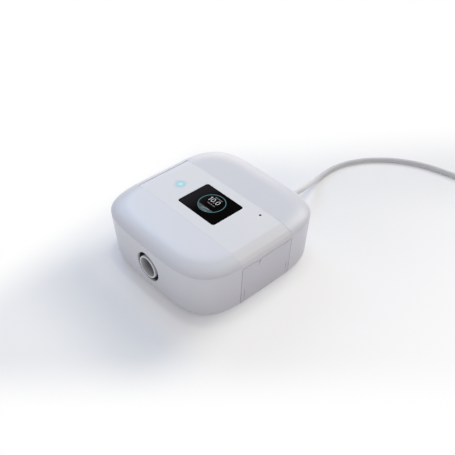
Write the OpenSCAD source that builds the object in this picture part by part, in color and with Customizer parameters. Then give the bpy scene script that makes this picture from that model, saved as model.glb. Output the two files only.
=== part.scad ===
// Travel breathing machine: a low rounded-square case with a blower, a power supply, a touch
// display and a side door, and its mains lead laid out on the table beside it.
// Millimetres. +X is the door side, -Y is the front with the air outlet, +Z is up.
// The origin is on the table under the middle of the case.

/* [Case] */
// Width and depth of the case
case_w = 150; // [146:1:156]
// Height from the table to the top face
case_h = 58; // [57:0.5:60]
// Exponent of the rounded-square outline: higher is squarer
squareness = 4.2; // [3.8:0.1:5]
// Wall thickness of the shells
wall = 2.4; // [2:0.1:2.6]
// Height of the line where the upper shell meets the lower case
part_z = 51; // [50.5:0.5:52]
// How far the rounded top edge runs in from the side
dome_run = 20; // [16:1:24]
// How far round its curve the top edge starts at the parting line, in degrees
dome_lean = 15; // [0:1:25]
// How much the side draws in from the parting line down to the bottom edge
side_taper = 2; // [1:0.5:3]
// Width and height of the rounded bottom edge
edge_run = 8; // [6:0.5:9]
// Height of the rounded bottom edge
edge_rise = 9; // [7:0.5:10]
// How far the rubber feet stand below the case
foot_h = 1; // [0.5:0.1:1.5]

/* [Top panel] */
// Front edge of the panel, measured forward from the middle
panel_front = 30.4; // [29:0.1:32]
// Rear edge of the panel, measured back from the middle
panel_back = 28.2; // [27:0.1:30]
// Where the flat top turns down into the end bevels, measured from the middle
crease_x = 61; // [60:0.5:64]
// Seam between the panel and the upper shell
seam = 0.2; // [0.1:0.05:0.3]
// Thickness of the panel
panel_t = 2.2; // [2:0.1:2.4]

/* [Display] */
// Width of the black glass
glass_w = 48.6; // [44:0.1:50]
// Depth of the black glass
glass_d = 36.4; // [34:0.1:38]
// Middle of the glass from the middle of the case, to the right
glass_x = 0.6; // [-2:0.1:3]
// Middle of the glass from the middle of the case, to the back
glass_y = -0.6; // [-2:0.1:1]
// Thickness of the glass
glass_t = 1.6; // [1:0.1:1.6]

/* [Power button] */
// Middle of the button, to the right
button_x = -40; // [-42:0.5:-38]
// Middle of the button, to the back
button_y = -1.7; // [-4:0.1:2]
// Diameter of the button cap
button_d = 13; // [11:0.5:14]
// How far the button travels
button_travel = 0.7; // [0.4:0.1:0.7]

/* [Side door] */
// Height of the door's top edge
door_top = 47.8; // [46:0.1:48]
// Height of the door's hinge axis
hinge_z = 7.2; // [7:0.1:8]
// Gap round the door
door_gap = 0.4; // [0.3:0.1:0.6]
// Width of the thumb notch at the door's top edge
notch_w = 5; // [4:0.5:9]
// Height of the thumb notch
notch_h = 7; // [6:0.5:12]

/* [Air outlet] */
// Outside diameter of the hose connector
outlet_d = 22; // [20:0.5:22]
// Bore of the hose connector
outlet_bore = 18.6; // [16:0.2:18.6]
// Middle of the outlet, to the right
outlet_x = 1; // [-1:0.5:3]
// Height of the outlet's axis
outlet_z = 27.5; // [27.5:0.5:28]
// Diameter of the recess round the connector
recess_d = 30; // [29:0.5:31]
// Depth of the recess
recess_depth = 16; // [12:1:17]

/* [Blower] */
// Radius of the impeller
impeller_r = 24; // [20:1:25]
// Number of impeller blades
blade_count = 11; // [7:1:13]

/* [Mains lead] */
// Diameter of the lead
cord_d = 5.5; // [5:0.1:6]
// Turns that the coil winds inward
turns_in = 3.75; // [3.75:1:4.75]
// Turns that the coil winds outward again
turns_out = 3.5; // [2.5:1:3.5]

/* [Hidden] */

$fn = 48;
eps = 0.01;

// Colours, as the photograph shows the outside, and the usual ones inside
shell_white = [0.90, 0.91, 0.94];
case_white = [0.82, 0.83, 0.87];
inner_grey = [0.62, 0.64, 0.66];
board_green = [0.10, 0.36, 0.24];
steel = [0.72, 0.73, 0.75];
rubber_dark = [0.16, 0.16, 0.18];
cord_grey = [0.80, 0.81, 0.82];

// Outline and side profile of the case
half_w = case_w / 2;
outline_steps = 48;
flat_half = half_w - side_taper - edge_run;
edge_top = foot_h + edge_rise;
floor_z = foot_h + wall;
ceiling_z = case_h - panel_t - wall + 0.2;
dome_h = case_h - part_z;
inner_dome_h = ceiling_z - part_z;

function signed_power(v, e) = sign(v) * pow(abs(v), e);
function outline(half) = [
    for (i = [0 : outline_steps - 1]) let (u = 360 * i / outline_steps)
        [half * signed_power(cos(u), 2 / squareness), half * signed_power(sin(u), 2 / squareness)]
];

// Half width of the outside at each height, as [height, half width] rings
function edge_rings(n) = [
    for (k = [0 : n]) let (a = 90 * k / n)
        [foot_h + edge_rise * (1 - cos(a)), flat_half + edge_run * sin(a)]
];
function dome_rings(from_half, rise, run, n, lean = 0) = [
    for (k = [1 : n])
        let (a = lean + (90 - lean) * k / n, tall = rise / (1 - sin(lean)), wide = run / cos(lean))
            [part_z + tall * (sin(a) - sin(lean)), from_half - wide * (cos(lean) - cos(a))]
];
case_rings = concat(edge_rings(4), [[part_z, half_w]]);
shell_rings = concat([[part_z, half_w]], dome_rings(half_w, dome_h, dome_run, 6, dome_lean));
inner_half = half_w - wall;
inner_case_rings = [
    [floor_z, flat_half - 1], [floor_z + 3, flat_half + edge_run * 0.5],
    [edge_top, inner_half - side_taper], [part_z + 1, inner_half]
];
inner_shell_rings = concat(
    [[part_z - 1, inner_half], [part_z, inner_half]],
    dome_rings(inner_half, inner_dome_h, dome_run - 2, 4)
);

// A closed solid through rounded-square rings
module loft(rings) {
    n = outline_steps;
    last = len(rings) - 1;
    polyhedron(
        points = [for (r = rings) each [for (p = outline(r[1])) [p.x, p.y, r[0]]]],
        faces = concat(
            [[for (i = [0 : n - 1]) i]],
            [[for (i = [n - 1 : -1 : 0]) last * n + i]],
            [for (k = [0 : last - 1]) each [for (i = [0 : n - 1])
                [k * n + i, (k + 1) * n + i, (k + 1) * n + (i + 1) % n, k * n + (i + 1) % n]]]
        )
    );
}

// The top panel's end profile, from the flat top round to its lower lip, in X and Z
lip_z = door_top + door_gap;
lip_run = half_w + 1;
function panel_profile(d) = [
    [crease_x, case_h - d], [crease_x + 5 - 0.3 * d, case_h - 1.8 - 0.95 * d],
    [half_w - 4.5 - 0.43 * d, case_h - 4 - 0.9 * d], [half_w - 1.4 - 0.6 * d, part_z + 0.9 - 0.8 * d],
    [lip_run - (d > 0 ? d + 1 : 0), part_z - 1.8], [lip_run - (d > 0 ? d + 1 : 0), lip_z]
];
function mirrored(points) = [for (i = [len(points) - 1 : -1 : 0]) [-points[i].x, points[i].y]];

// A slab along Y between two sides, from a shape drawn in X and Z
module along_y(y_from, y_to) {
    translate([0, y_to, 0]) rotate([90, 0, 0]) linear_extrude(height = y_to - y_from) children();
}

module panel_slab(y_from, y_to, d_out, d_in, low) {
    outer = panel_profile(d_out);
    inner = panel_profile(d_in);
    along_y(y_from, y_to)
        difference() {
            polygon(concat(outer, [[lip_run, low], [-lip_run, low]], mirrored(outer)));
            polygon(concat(inner, [[inner[5].x, low - 1], [-inner[5].x, low - 1]], mirrored(inner)));
        }
}

// Fixings that several pieces share
screw_spots = [for (x = [-50, 50], y = [-50, 50]) [x, y]];
boss_split_z = 18;
screw_head_z = 11.5;
screw_r = 1.5;
board_z = 8;
board_t = 1.6;
board_x = [14, 49.6];
board_y = [-36, 36];
board_top = board_z + board_t;
psu_z = 6;
psu_x = [-44, 44];
psu_y = [40, 65];
psu_top = psu_z + board_t;
main_screw_spots = [[18, -32], [18, 32], [46, -32], [52, 32]];
psu_screw_spots = [[-41, 43], [-41, 62], [41, 43], [41, 62]];
ui_z = 49.4;
ui_top = ui_z + board_t;
ui_screw_spots = [[-49, -16], [-49, 19], [44, -16], [36, 19]];
sensor_spot = [42, 21.2];
sensor_r = 1.1;
hinge_x = half_w - 4.5;
hinge_r = 2.1;
pin_r = 1.2;
pin_reach = 3.6;
inlet_x = 6;
inlet_z = 16;
back_y = half_w - 1.4;
front_y = -half_w + 0.6;
recess_floor_y = front_y + recess_depth;
slot_pitch = 5;

module at_spots(spots) {
    for (s = spots) translate([s.x, s.y, 0]) children();
}

module pipe(r_out, r_in, h) {
    rotate_extrude() translate([r_in, 0]) square([r_out - r_in, h]);
}

// A cylinder lying along Y
module rod_y(r, y_from, y_to) {
    translate([0, y_to, 0]) rotate([90, 0, 0]) cylinder(r = r, h = y_to - y_from);
}

module block(x, y, z) {
    translate([x[0], y[0], z[0]]) cube([x[1] - x[0], y[1] - y[0], z[1] - z[0]]);
}

// ---- Case ----

module case_bosses() {
    at_spots(screw_spots) translate([0, 0, foot_h]) cylinder(r = 4.5, h = boss_split_z - foot_h);
    at_spots(main_screw_spots) translate([0, 0, foot_h + 1]) cylinder(r = 3, h = board_z - foot_h - 1);
    at_spots(psu_screw_spots) translate([0, 0, foot_h + 1]) cylinder(r = 3, h = psu_z - foot_h - 1);
    for (y = [[-panel_front - 5.5, -panel_front], [panel_back, panel_back + 5.5]])
        block([hinge_x - 5, half_w], y, [foot_h, hinge_z + 4]);
    // Seat that the filter stands on
    block(filter_x, filter_y, [foot_h + 1, filter_z[0]]);
}

module bottom_case() {
    color(case_white) difference() {
        union() {
            difference() {
                loft(case_rings);
                loft(inner_case_rings);
            }
            intersection() {
                case_bosses();
                loft(case_rings);
            }
        }
        // Screw holes up through the bosses
        at_spots(screw_spots) translate([0, 0, -1]) cylinder(r = 3.1, h = screw_head_z + 2.5 + 1);
        at_spots(screw_spots) translate([0, 0, 0]) cylinder(r = screw_r + 0.2, h = boss_split_z + 1);
        at_spots(main_screw_spots) translate([0, 0, 4]) cylinder(r = 1.2, h = board_z);
        at_spots(psu_screw_spots) translate([0, 0, 3]) cylinder(r = 1.2, h = psu_z);
        // Door opening, up to the panel's lip
        block([half_w - 8, half_w + 1], [-panel_front, panel_back], [hinge_z - 2.6, part_z + 1]);
        // Notch for the panel's lip on the far side
        block([-half_w - 1, -half_w + 4], [-panel_front, panel_back], [lip_z, part_z + 1]);
        translate([hinge_x, 0, hinge_z])
            rod_y(pin_r + 0.05, -panel_front - pin_reach - 0.4, panel_back + pin_reach + 0.4);
        // Air outlet recess
        translate([outlet_x, 0, outlet_z]) rod_y(recess_d / 2, -half_w - 1, -half_w + 8);
        // Mains inlet opening
        block([inlet_x - 10, inlet_x + 10], [half_w - 8, half_w + 1], [inlet_z - 7, inlet_z + 7]);
        // Air intake slots under the filter bay
        for (k = [0 : 7])
            block([57, 64], [-27 + k * slot_pitch, -24.6 + k * slot_pitch], [0, floor_z + 1]);
        // Seats for the rubber feet
        at_spots(foot_spots) cylinder(r = foot_r, h = foot_h + 0.6);
    }
}

module upper_shell() {
    color(shell_white) difference() {
        union() {
            difference() {
                loft(shell_rings);
                loft(inner_shell_rings);
            }
            // Lip that locates the shell inside the lower case
            difference() {
                translate([0, 0, part_z - 2.5]) linear_extrude(height = 3) polygon(outline(inner_half - 0.3));
                translate([0, 0, part_z - 3]) linear_extrude(height = 5) polygon(outline(inner_half - 1.6));
            }
            at_spots(screw_spots) translate([0, 0, boss_split_z]) cylinder(r = 4, h = ceiling_z - boss_split_z);
            at_spots(ui_screw_spots) translate([0, 0, ui_top]) cylinder(r = 2.4, h = ceiling_z + 0.5 - ui_top);
        }
        at_spots(screw_spots) translate([0, 0, boss_split_z - 1]) cylinder(r = screw_r, h = 13);
        at_spots(ui_screw_spots) translate([0, 0, ui_top - 1]) cylinder(r = 1, h = 3.4);
        // Channel that the top panel lies in
        panel_slab(-panel_front, panel_back, -3, panel_t, part_z - 6);
        // Openings under the panel
        block([glass_x - 23, glass_x + 23], [glass_y - 17, glass_y + 17], [ceiling_z - 2, case_h]);
        translate([button_x, button_y, ceiling_z - 2]) cylinder(r = button_d / 2 + 1.6, h = 6);
        translate([sensor_spot.x, sensor_spot.y, ceiling_z - 2]) cylinder(r = sensor_r + 1, h = 6);
    }
}

module top_panel() {
    color(shell_white) difference() {
        intersection() {
            panel_slab(-panel_front + seam, panel_back - seam, 0, panel_t, lip_z);
            union() {
                loft(shell_rings);
                loft(case_rings);
            }
        }
        // Pocket for the glass with a window through it
        block([glass_x - glass_w / 2 - seam, glass_x + glass_w / 2 + seam],
              [glass_y - glass_d / 2 - seam, glass_y + glass_d / 2 + seam], [case_h - glass_t, case_h + 1]);
        block([glass_x - 22.4, glass_x + 22.4], [glass_y - 16.4, glass_y + 16.4], [case_h - 4, case_h]);
        translate([button_x, button_y, case_h - 4]) cylinder(r = button_d / 2 + 0.2, h = 6);
        translate([sensor_spot.x, sensor_spot.y, case_h - 4]) cylinder(r = sensor_r + 0.05, h = 6);
    }
}

notch_y = -11.2;
slit_y = -panel_front + door_gap + 3.6;

module side_door() {
    ends = [-panel_front + door_gap, panel_back - door_gap];
    color(case_white) difference() {
        union() {
            intersection() {
                difference() {
                    loft(case_rings);
                    loft([[0, half_w - 12], [foot_h + 2, half_w - 7], [edge_top, half_w - side_taper - 2.2],
                          [part_z + 1, half_w - 2.2]]);
                }
                block([half_w - 8, half_w + 1], ends, [hinge_z, door_top]);
            }
            // Hinge barrel along the lower edge, with a pin at each end
            translate([hinge_x, 0, hinge_z]) rod_y(hinge_r, ends[0], ends[1]);
            translate([hinge_x, 0, hinge_z]) rod_y(pin_r, ends[0] - pin_reach, ends[1] + pin_reach);
            // Latch tab behind the thumb notch
            block([half_w - 4.6, half_w - 2.4], [notch_y - 5, notch_y + 5], [door_top - 8, door_top - 2]);
        }
        // Thumb notch: a wedge pressed into the outer face
        translate([half_w - 1.4, notch_y, door_top])
            rotate([0, 90, 0])
                linear_extrude(height = 3)
                    polygon([[-1, -notch_w / 2], [-1, notch_w / 2], [0, notch_w / 2], [notch_h, 0], [0, -notch_w / 2]]);
        // Slits that free the hinge ears from the panel
        for (y = [slit_y, -slit_y + panel_back - panel_front])
            block([half_w - 8, half_w + 1], [y - 0.2, y + 0.2], [hinge_z + hinge_r, hinge_z + 15]);
    }
}

foot_r = 6;
foot_spots = [for (x = [-50, 50], y = [-36, 36]) [x, y]];

module rubber_feet() {
    color(rubber_dark) at_spots(foot_spots) {
        cylinder(r1 = foot_r - 0.8, r2 = foot_r - 0.2, h = 0.6);
        translate([0, 0, 0.6]) cylinder(r = foot_r - 0.2, h = foot_h);
    }
}

module case_screws() {
    color(steel) at_spots(screw_spots) difference() {
        union() {
            translate([0, 0, screw_head_z]) cylinder(r = 2.8, h = 2.5);
            translate([0, 0, screw_head_z + 2.5]) cylinder(r = screw_r, h = 13);
        }
        translate([0, 0, screw_head_z - 1]) cylinder(r = 1.3, h = 2.4, $fn = 6);
    }
}

// ---- Display and buttons ----

module rounded_slab(w, d, h, r) {
    linear_extrude(height = h)
        union() {
            square([w - 2 * r, d], center = true);
            square([w, d - 2 * r], center = true);
            for (x = [-1, 1], y = [-1, 1]) translate([x * (w / 2 - r), y * (d / 2 - r)]) circle(r = r);
        }
}

module display_glass() {
    color([0.03, 0.03, 0.04])
        translate([glass_x, glass_y, case_h - glass_t]) rounded_slab(glass_w, glass_d, glass_t, 2.4);
}

module display_module() {
    color([0.55, 0.57, 0.60])
        block([glass_x - 22, glass_x + 22], [glass_y - 16, glass_y + 16], [ui_top, case_h - glass_t]);
}

module ui_board() {
    color(board_green) difference() {
        block([-53, 47.5], [-21, 24], [ui_z, ui_top]);
        at_spots(ui_screw_spots) translate([0, 0, ui_z - 1]) cylinder(r = 1.1, h = 4);
    }
}

button_flange_z = [case_h - 3.5, case_h - 2.5];
lens_r = 4.75;
lens_w = 0.6;
lens_t = 0.6;

module power_button() {
    color(shell_white) translate([button_x, button_y, 0]) difference() {
        union() {
            translate([0, 0, button_flange_z[0]]) cylinder(r = button_d / 2, h = case_h - button_flange_z[0]);
            translate([0, 0, button_flange_z[0]])
                cylinder(r = button_d / 2 + 0.9, h = button_flange_z[1] - button_flange_z[0]);
        }
        translate([0, 0, case_h - lens_t]) pipe(lens_r, lens_r - lens_w, 1);
    }
}

module button_lens() {
    color([0.75, 0.95, 1]) translate([button_x, button_y, case_h - lens_t]) pipe(lens_r, lens_r - lens_w, lens_t);
}

module button_switch() {
    color([0.2, 0.2, 0.22]) translate([button_x, button_y, ui_top]) {
        translate([-3, -3, 0]) cube([6, 6, 2]);
        translate([0, 0, 2]) cylinder(r = 1.5, h = 0.6);
    }
}

module light_sensor_lens() {
    color([0.05, 0.05, 0.06]) translate([sensor_spot.x, sensor_spot.y, ui_top])
        cylinder(r = sensor_r, h = case_h - ui_top);
}

// ---- Air path ----

spigot_r = 10;
blower_spot = [-25, 0];
nozzle_y = [-46, -37];

module outlet_tube() {
    color([0.86, 0.87, 0.88]) translate([outlet_x, 0, outlet_z]) difference() {
        union() {
            rod_y(outlet_d / 2, front_y + 0.6, recess_floor_y);
            rod_y(outlet_d / 2 - 0.6, front_y, front_y + 0.7);
            rod_y(recess_d / 2 + 1.2, recess_floor_y, recess_floor_y + 2);
            rod_y(spigot_r, recess_floor_y + 1, recess_floor_y + 8);
        }
        rod_y(outlet_bore / 2, front_y - 1, recess_floor_y + 9);
    }
}

module outlet_cup() {
    color(case_white) translate([outlet_x, 0, outlet_z]) difference() {
        rod_y(recess_d / 2 + 1.4, -half_w + 4.8, recess_floor_y);
        rod_y(recess_d / 2, -half_w, recess_floor_y + 1);
    }
}

module outlet_coupling() {
    y0 = recess_floor_y + 2.2;
    y1 = nozzle_y[1] - 1.4;
    pleat = 3;
    color(rubber_dark) translate([outlet_x, 0, outlet_z]) difference() {
        union() {
            rod_y(spigot_r + 1.6, y0, y1);
            for (k = [0 : 2]) rod_y(spigot_r + 2.8, y0 + 6 + k * pleat, y0 + 7.4 + k * pleat);
            // Nipple for the pressure sensor's tube
            translate([spigot_r, nipple_y, 0]) rotate([0, 90, 0])
                cylinder(r = 1.6, h = nipple_x - outlet_x - spigot_r);
        }
        rod_y(spigot_r + 0.05, y0 - 1, y1 + 1);
    }
}

// The scroll widens from the tongue round to the outlet channel
scroll_r = 27;
scroll_growth = 8;
scroll_wall = 1.8;
scroll_floor_z = 17;
scroll_split_z = 27.5;
scroll_roof_z = 36;
channel_x = [outlet_x - 9 - blower_spot.x, outlet_x + 9 - blower_spot.x];
function scroll_outline(extra) = [
    for (a = [30 : 15 : 360]) let (r = scroll_r + scroll_growth * (a - 30) / 330 + extra)
        [r * cos(-a), r * sin(-a)]
];

module scroll_shape(extra) {
    polygon(scroll_outline(extra));
    translate([channel_x[0] - extra, nozzle_y[1] + (extra > 0 ? 0 : -1)])
        square([channel_x[1] - channel_x[0] + 2 * extra, -nozzle_y[1] + (extra > 0 ? 0 : 1)]);
}

motor_r = 15;
bearing_r = 5;
shaft_r = 2;

module blower_base() {
    color(inner_grey) union() {
        translate([blower_spot.x, blower_spot.y, 0]) difference() {
            union() {
                translate([0, 0, scroll_floor_z])
                    linear_extrude(height = scroll_split_z - scroll_floor_z) scroll_shape(scroll_wall);
                translate([0, 0, 8.4]) cylinder(r = motor_r + 1.6, h = scroll_floor_z - 8.4);
                // Terminal block for the motor's wires
                block([motor_r - 0.5, motor_r + 4], [1, 10.4], [10.4, 13.6]);
            }
            translate([0, 0, scroll_floor_z + 2])
                linear_extrude(height = scroll_split_z - scroll_floor_z) scroll_shape(0);
            difference() {
                translate([0, 0, 9.9]) cylinder(r = motor_r, h = scroll_floor_z - 9.9);
                translate([0, 0, 9]) cylinder(r = bearing_r + 1.4, h = 3.2);
            }
            translate([0, 0, 9.6]) cylinder(r = bearing_r, h = 2.8);
            translate([0, 0, scroll_floor_z - 0.6]) cylinder(r = bearing_r, h = 2.2);
            translate([0, 0, 8]) cylinder(r = shaft_r + 0.6, h = 12);
            // Half of the round way out
            translate([outlet_x - blower_spot.x, 0, outlet_z]) rod_y(spigot_r, nozzle_y[0], nozzle_y[1] + 2);
        }
        translate([outlet_x, 0, outlet_z]) difference() {
            rod_y(spigot_r, nozzle_y[0], nozzle_y[1] - 1.2);
            rod_y(spigot_r - 1.4, nozzle_y[0] - 1, nozzle_y[1] + 1);
        }
        // End plate that carries the nozzle
        difference() {
            block([outlet_x - 10.8, outlet_x + 10.8], [nozzle_y[1] - 1.2, nozzle_y[1]], [scroll_floor_z, scroll_roof_z + 2]);
            translate([outlet_x, 0, outlet_z]) rod_y(spigot_r - 1.4, nozzle_y[0], nozzle_y[1] + 1);
        }
    }
}

eye_r = 13;
lid_top_z = scroll_roof_z + 2;

module blower_lid() {
    color(inner_grey) translate([blower_spot.x, blower_spot.y, 0]) difference() {
        union() {
            translate([0, 0, scroll_split_z])
                linear_extrude(height = lid_top_z - scroll_split_z) scroll_shape(scroll_wall);
            translate([0, 0, lid_top_z - 1]) cylinder(r = eye_r + 2, h = 3);
        }
        translate([0, 0, scroll_split_z - 1])
            linear_extrude(height = scroll_roof_z - scroll_split_z + 1) scroll_shape(0);
        translate([0, 0, scroll_roof_z - 1]) cylinder(r = eye_r, h = 6);
        translate([outlet_x - blower_spot.x, 0, outlet_z]) rod_y(spigot_r, nozzle_y[0], nozzle_y[1] + 2);
    }
}

damper_spots = [for (a = [45 : 90 : 315]) [blower_spot.x + 22.5 * cos(a), blower_spot.y + 22.5 * sin(a)]];

module blower_dampers() {
    h = scroll_floor_z - floor_z;
    color([0.25, 0.27, 0.30]) at_spots(damper_spots) translate([0, 0, floor_z])
        rotate_extrude() polygon([[0, 0], [4, 0], [4, 2.5], [2.6, h / 2], [4, h - 2.5], [4, h], [0, h]]);
}

impeller_z = 20.4;
blade_h = 11.5;
blade_curve_r = 15;

module impeller() {
    color([0.88, 0.89, 0.90]) translate([blower_spot.x, blower_spot.y, 0]) difference() {
        union() {
            translate([0, 0, impeller_z]) cylinder(r = impeller_r, h = 1.2);
            translate([0, 0, impeller_z]) cylinder(r1 = 7, r2 = 4, h = blade_h + 1);
            for (k = [0 : blade_count - 1]) rotate([0, 0, 360 * k / blade_count])
                translate([impeller_r - blade_curve_r * 0.9, blade_curve_r * 0.72, impeller_z + 1])
                    rotate([0, 0, -112]) rotate_extrude(angle = 68)
                        translate([blade_curve_r - 0.5, 0]) square([1, blade_h]);
        }
        translate([0, 0, impeller_z - 1]) cylinder(r = shaft_r, h = blade_h + 4);
    }
}

module motor_rotor() {
    color(steel) translate([blower_spot.x, blower_spot.y, 0]) {
        translate([0, 0, 9.9]) cylinder(r = shaft_r, h = 21);
        translate([0, 0, 12.6]) pipe(7.2, shaft_r - eps, 3.2);
    }
}

module motor_stator() {
    color([0.72, 0.42, 0.22]) translate([blower_spot.x, blower_spot.y, 10.6]) {
        pipe(motor_r - 0.1, 12.4, 5.6);
        for (k = [0 : 8]) rotate([0, 0, 40 * k]) block([8, 12.6], [-1.9, 1.9], [0.4, 5.2]);
    }
}

module motor_bearings() {
    color(steel) translate([blower_spot.x, blower_spot.y, 0]) {
        translate([0, 0, 9.7]) pipe(bearing_r - 0.02, shaft_r + 0.05, 2.4);
        translate([0, 0, scroll_floor_z - 0.5]) pipe(bearing_r - 0.02, shaft_r + 0.05, 2);
    }
}

duct_z = [lid_top_z + 2, 47];
plenum_x = [36, 50];
plenum_y = [-28, 13];

module intake_duct() {
    t = 1.4;
    color(inner_grey) difference() {
        union() {
            block([blower_spot.x - 18, plenum_x[1]], [-18, plenum_y[1]], duct_z);
            block(plenum_x, plenum_y, [board_top + 4, duct_z[1]]);
        }
        block([blower_spot.x - 18 + t, plenum_x[1] - 2 * t], [-18 + t, plenum_y[1] - t], [duct_z[0] + t, duct_z[1] - t]);
        block([plenum_x[0] + t, plenum_x[1] + 1], [plenum_y[0] + t, plenum_y[1] - t], [board_top + 4 + t, duct_z[1] - t]);
        translate([blower_spot.x, blower_spot.y, duct_z[0] - 1]) cylinder(r = eye_r, h = 3);
    }
}

module duct_foam() {
    color([0.30, 0.31, 0.33])
        block([blower_spot.x + 16, plenum_x[0] + 1], [-16, plenum_y[1] - 2], [duct_z[1] - 3.4, duct_z[1] - 1.4]);
}

filter_x = [50, 57];
filter_y = [-28, 13];
filter_z = [6, 46];
filter_rim = 2;

module filter_frame() {
    color([0.55, 0.60, 0.68]) difference() {
        block(filter_x, filter_y, filter_z);
        block([filter_x[0] - 1, filter_x[1] + 1], [filter_y[0] + filter_rim, filter_y[1] - filter_rim],
              [filter_z[0] + filter_rim, filter_z[1] - filter_rim]);
    }
}

module filter_pad(x) {
    block(x, [filter_y[0] + filter_rim, filter_y[1] - filter_rim], [filter_z[0] + filter_rim, filter_z[1] - filter_rim]);
}

module pollen_filter() { color([0.36, 0.42, 0.50]) filter_pad([54, 56.6]); }
module fine_filter() { color([0.95, 0.95, 0.93]) filter_pad([51, 53.8]); }

// ---- Electronics ----

module main_board() {
    color(board_green) difference() {
        union() {
            block(board_x, board_y, [board_z, board_top]);
            block([board_x[1] - 1, 56], [13.8, board_y[1]], [board_z, board_top]);
        }
        at_spots(main_screw_spots) translate([0, 0, board_z - 1]) cylinder(r = 1.3, h = 4);
    }
}

module processor_chips() {
    color([0.12, 0.12, 0.13]) {
        block([22, 32], [-6, 4], [board_top, board_top + 1.6]);
        block([38, 45], [-14, -7], [board_top, board_top + 1.2]);
        block([20, 25], [12, 18], [board_top, board_top + 1.2]);
        block([36, 47], [-27, -18], [board_top, board_top + 2.4]);
    }
}

sensor_x = 22;
sensor_y = -24;

module pressure_sensor() {
    color([0.85, 0.85, 0.82]) translate([sensor_x, sensor_y, board_top]) {
        translate([-4, -4, 0]) cube([8, 8, 5]);
        translate([0, 0, 5]) cylinder(r = 1.4, h = 4);
    }
}

module alarm_buzzer() {
    color([0.1, 0.1, 0.1]) translate([26, 27, board_top]) pipe(5.5, 1, 5);
}

riser_z = 24;
service_y = [14.4, 27.4];
bezel_x = [57, 58.6];

module riser_board() {
    color(board_green) {
        block([38, 56.8], service_y, [riser_z, riser_z + 1.2]);
        block([39, 43], [service_y[0] + 2, service_y[1] - 2], [board_top, riser_z]);
    }
}

card_z = riser_z + 1.7;
card_x = [44, 59];
card_y = [15.4, 26.4];

module memory_card_socket() {
    color(steel) difference() {
        block([43.4, 56.8], [card_y[0] - 0.7, card_y[1] + 0.7], [riser_z + 1.2, card_z + 1.6]);
        block([43.8, 58], [card_y[0] - 0.1, card_y[1] + 0.1], [card_z - 0.1, card_z + 1.1]);
    }
}

module memory_card() {
    color([0.08, 0.08, 0.09]) block(card_x, card_y, [card_z, card_z + 1]);
}

usb_y = [17, 25];
usb_z = [board_top, board_top + 3];

module usb_port() {
    color(steel) union() {
        difference() {
            block([50, 56.8], usb_y, usb_z);
            block([51, 58], [usb_y[0] + 0.4, usb_y[1] - 0.4], [usb_z[0] + 0.4, usb_z[1] - 0.4]);
        }
        block([50.5, 55.6], [usb_y[0] + 1.4, usb_y[1] - 1.4], [usb_z[0] + 1.1, usb_z[0] + 1.9]);
    }
}

module service_bezel() {
    color(case_white) difference() {
        block(bezel_x, [13.2, panel_back - 0.4], [floor_z, 46]);
        block([56, 60], [card_y[0] - 0.4, card_y[1] + 0.4], [card_z - 0.5, card_z + 1.5]);
        block([56, 60], [usb_y[0] + 0.2, usb_y[1] - 0.2], [usb_z[0] + 0.2, usb_z[1] - 0.2]);
    }
}

ribbon_x = 31;

module ribbon_cable() {
    color([0.75, 0.6, 0.35]) block([ribbon_x, ribbon_x + 0.4], [15, 23], [board_top, ui_z]);
}

module power_supply_board() {
    color([0.62, 0.50, 0.26]) difference() {
        block(psu_x, psu_y, [psu_z, psu_top]);
        at_spots(psu_screw_spots) translate([0, 0, psu_z - 1]) cylinder(r = 1.3, h = 4);
    }
}

module transformer() {
    z = [psu_top, psu_top + 22];
    color([0.20, 0.20, 0.22]) {
        block([-28, -6], [46, 50], z);
        block([-28, -6], [59, 63], z);
        block([-28, -6], [50, 59], [z[0], z[0] + 4]);
        block([-28, -6], [50, 59], [z[1] - 4, z[1]]);
        block([-25, -9], [50, 59], [z[0] + 4, z[1] - 4]);
    }
}

module bulk_capacitors() {
    color([0.10, 0.14, 0.22]) for (x = [20, 34]) translate([x, 50, psu_top]) difference() {
        cylinder(r = 6.5, h = 28);
        translate([0, 0, 27.4]) pipe(5.6, 5, 1);
    }
}

module heat_sink() {
    color([0.78, 0.79, 0.80]) {
        block([-38, -36], [44, 62], [psu_top, psu_top + 26]);
        for (k = [0 : 3]) block([-36, -31], [44.5 + 5 * k, 46 + 5 * k], [psu_top + 4, psu_top + 26]);
    }
}

module mains_filter_coil() {
    color([0.72, 0.42, 0.22]) translate([4, 48, psu_top + 3.4])
        rotate_extrude() translate([4.6, 0]) circle(r = 2.4, $fn = 24);
    color([0.3, 0.5, 0.3]) translate([4, 48, psu_top]) cylinder(r = 2, h = 1.4);
}

module insulator_sheet() {
    color([0.92, 0.90, 0.80]) block([-46, 46], [38, 38.6], [floor_z, 46]);
}

// A smooth tube swept along a list of points: rings square to the run, closed at both ends
function unit(v) = v / norm(v);
function heading(p, i) = unit(p[min(i + 1, len(p) - 1)] - p[max(i - 1, 0)]);
function tube_ring(c, t, r, sides, up) =
    let (s = unit(cross(t, up)), u = cross(s, t))
        [for (k = [0 : sides - 1]) let (a = 360 * k / sides) c + r * (cos(a) * u + sin(a) * s)];

module swept_tube(route, r, sides, up = [0, 0, 1]) {
    n = len(route);
    polyhedron(
        points = [for (i = [0 : n - 1]) each tube_ring(route[i], heading(route, i), r, sides, up)],
        faces = concat(
            [[for (k = [0 : sides - 1]) k]],
            [[for (k = [sides - 1 : -1 : 0]) (n - 1) * sides + k]],
            [for (i = [0 : n - 2]) each [for (k = [0 : sides - 1]) each let (
                a = i * sides + k, b = i * sides + (k + 1) % sides, c = b + sides, d = a + sides)
                [[a, c, b], [a, d, c]]]]
        )
    );
}

wire_r = 0.9;

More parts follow.
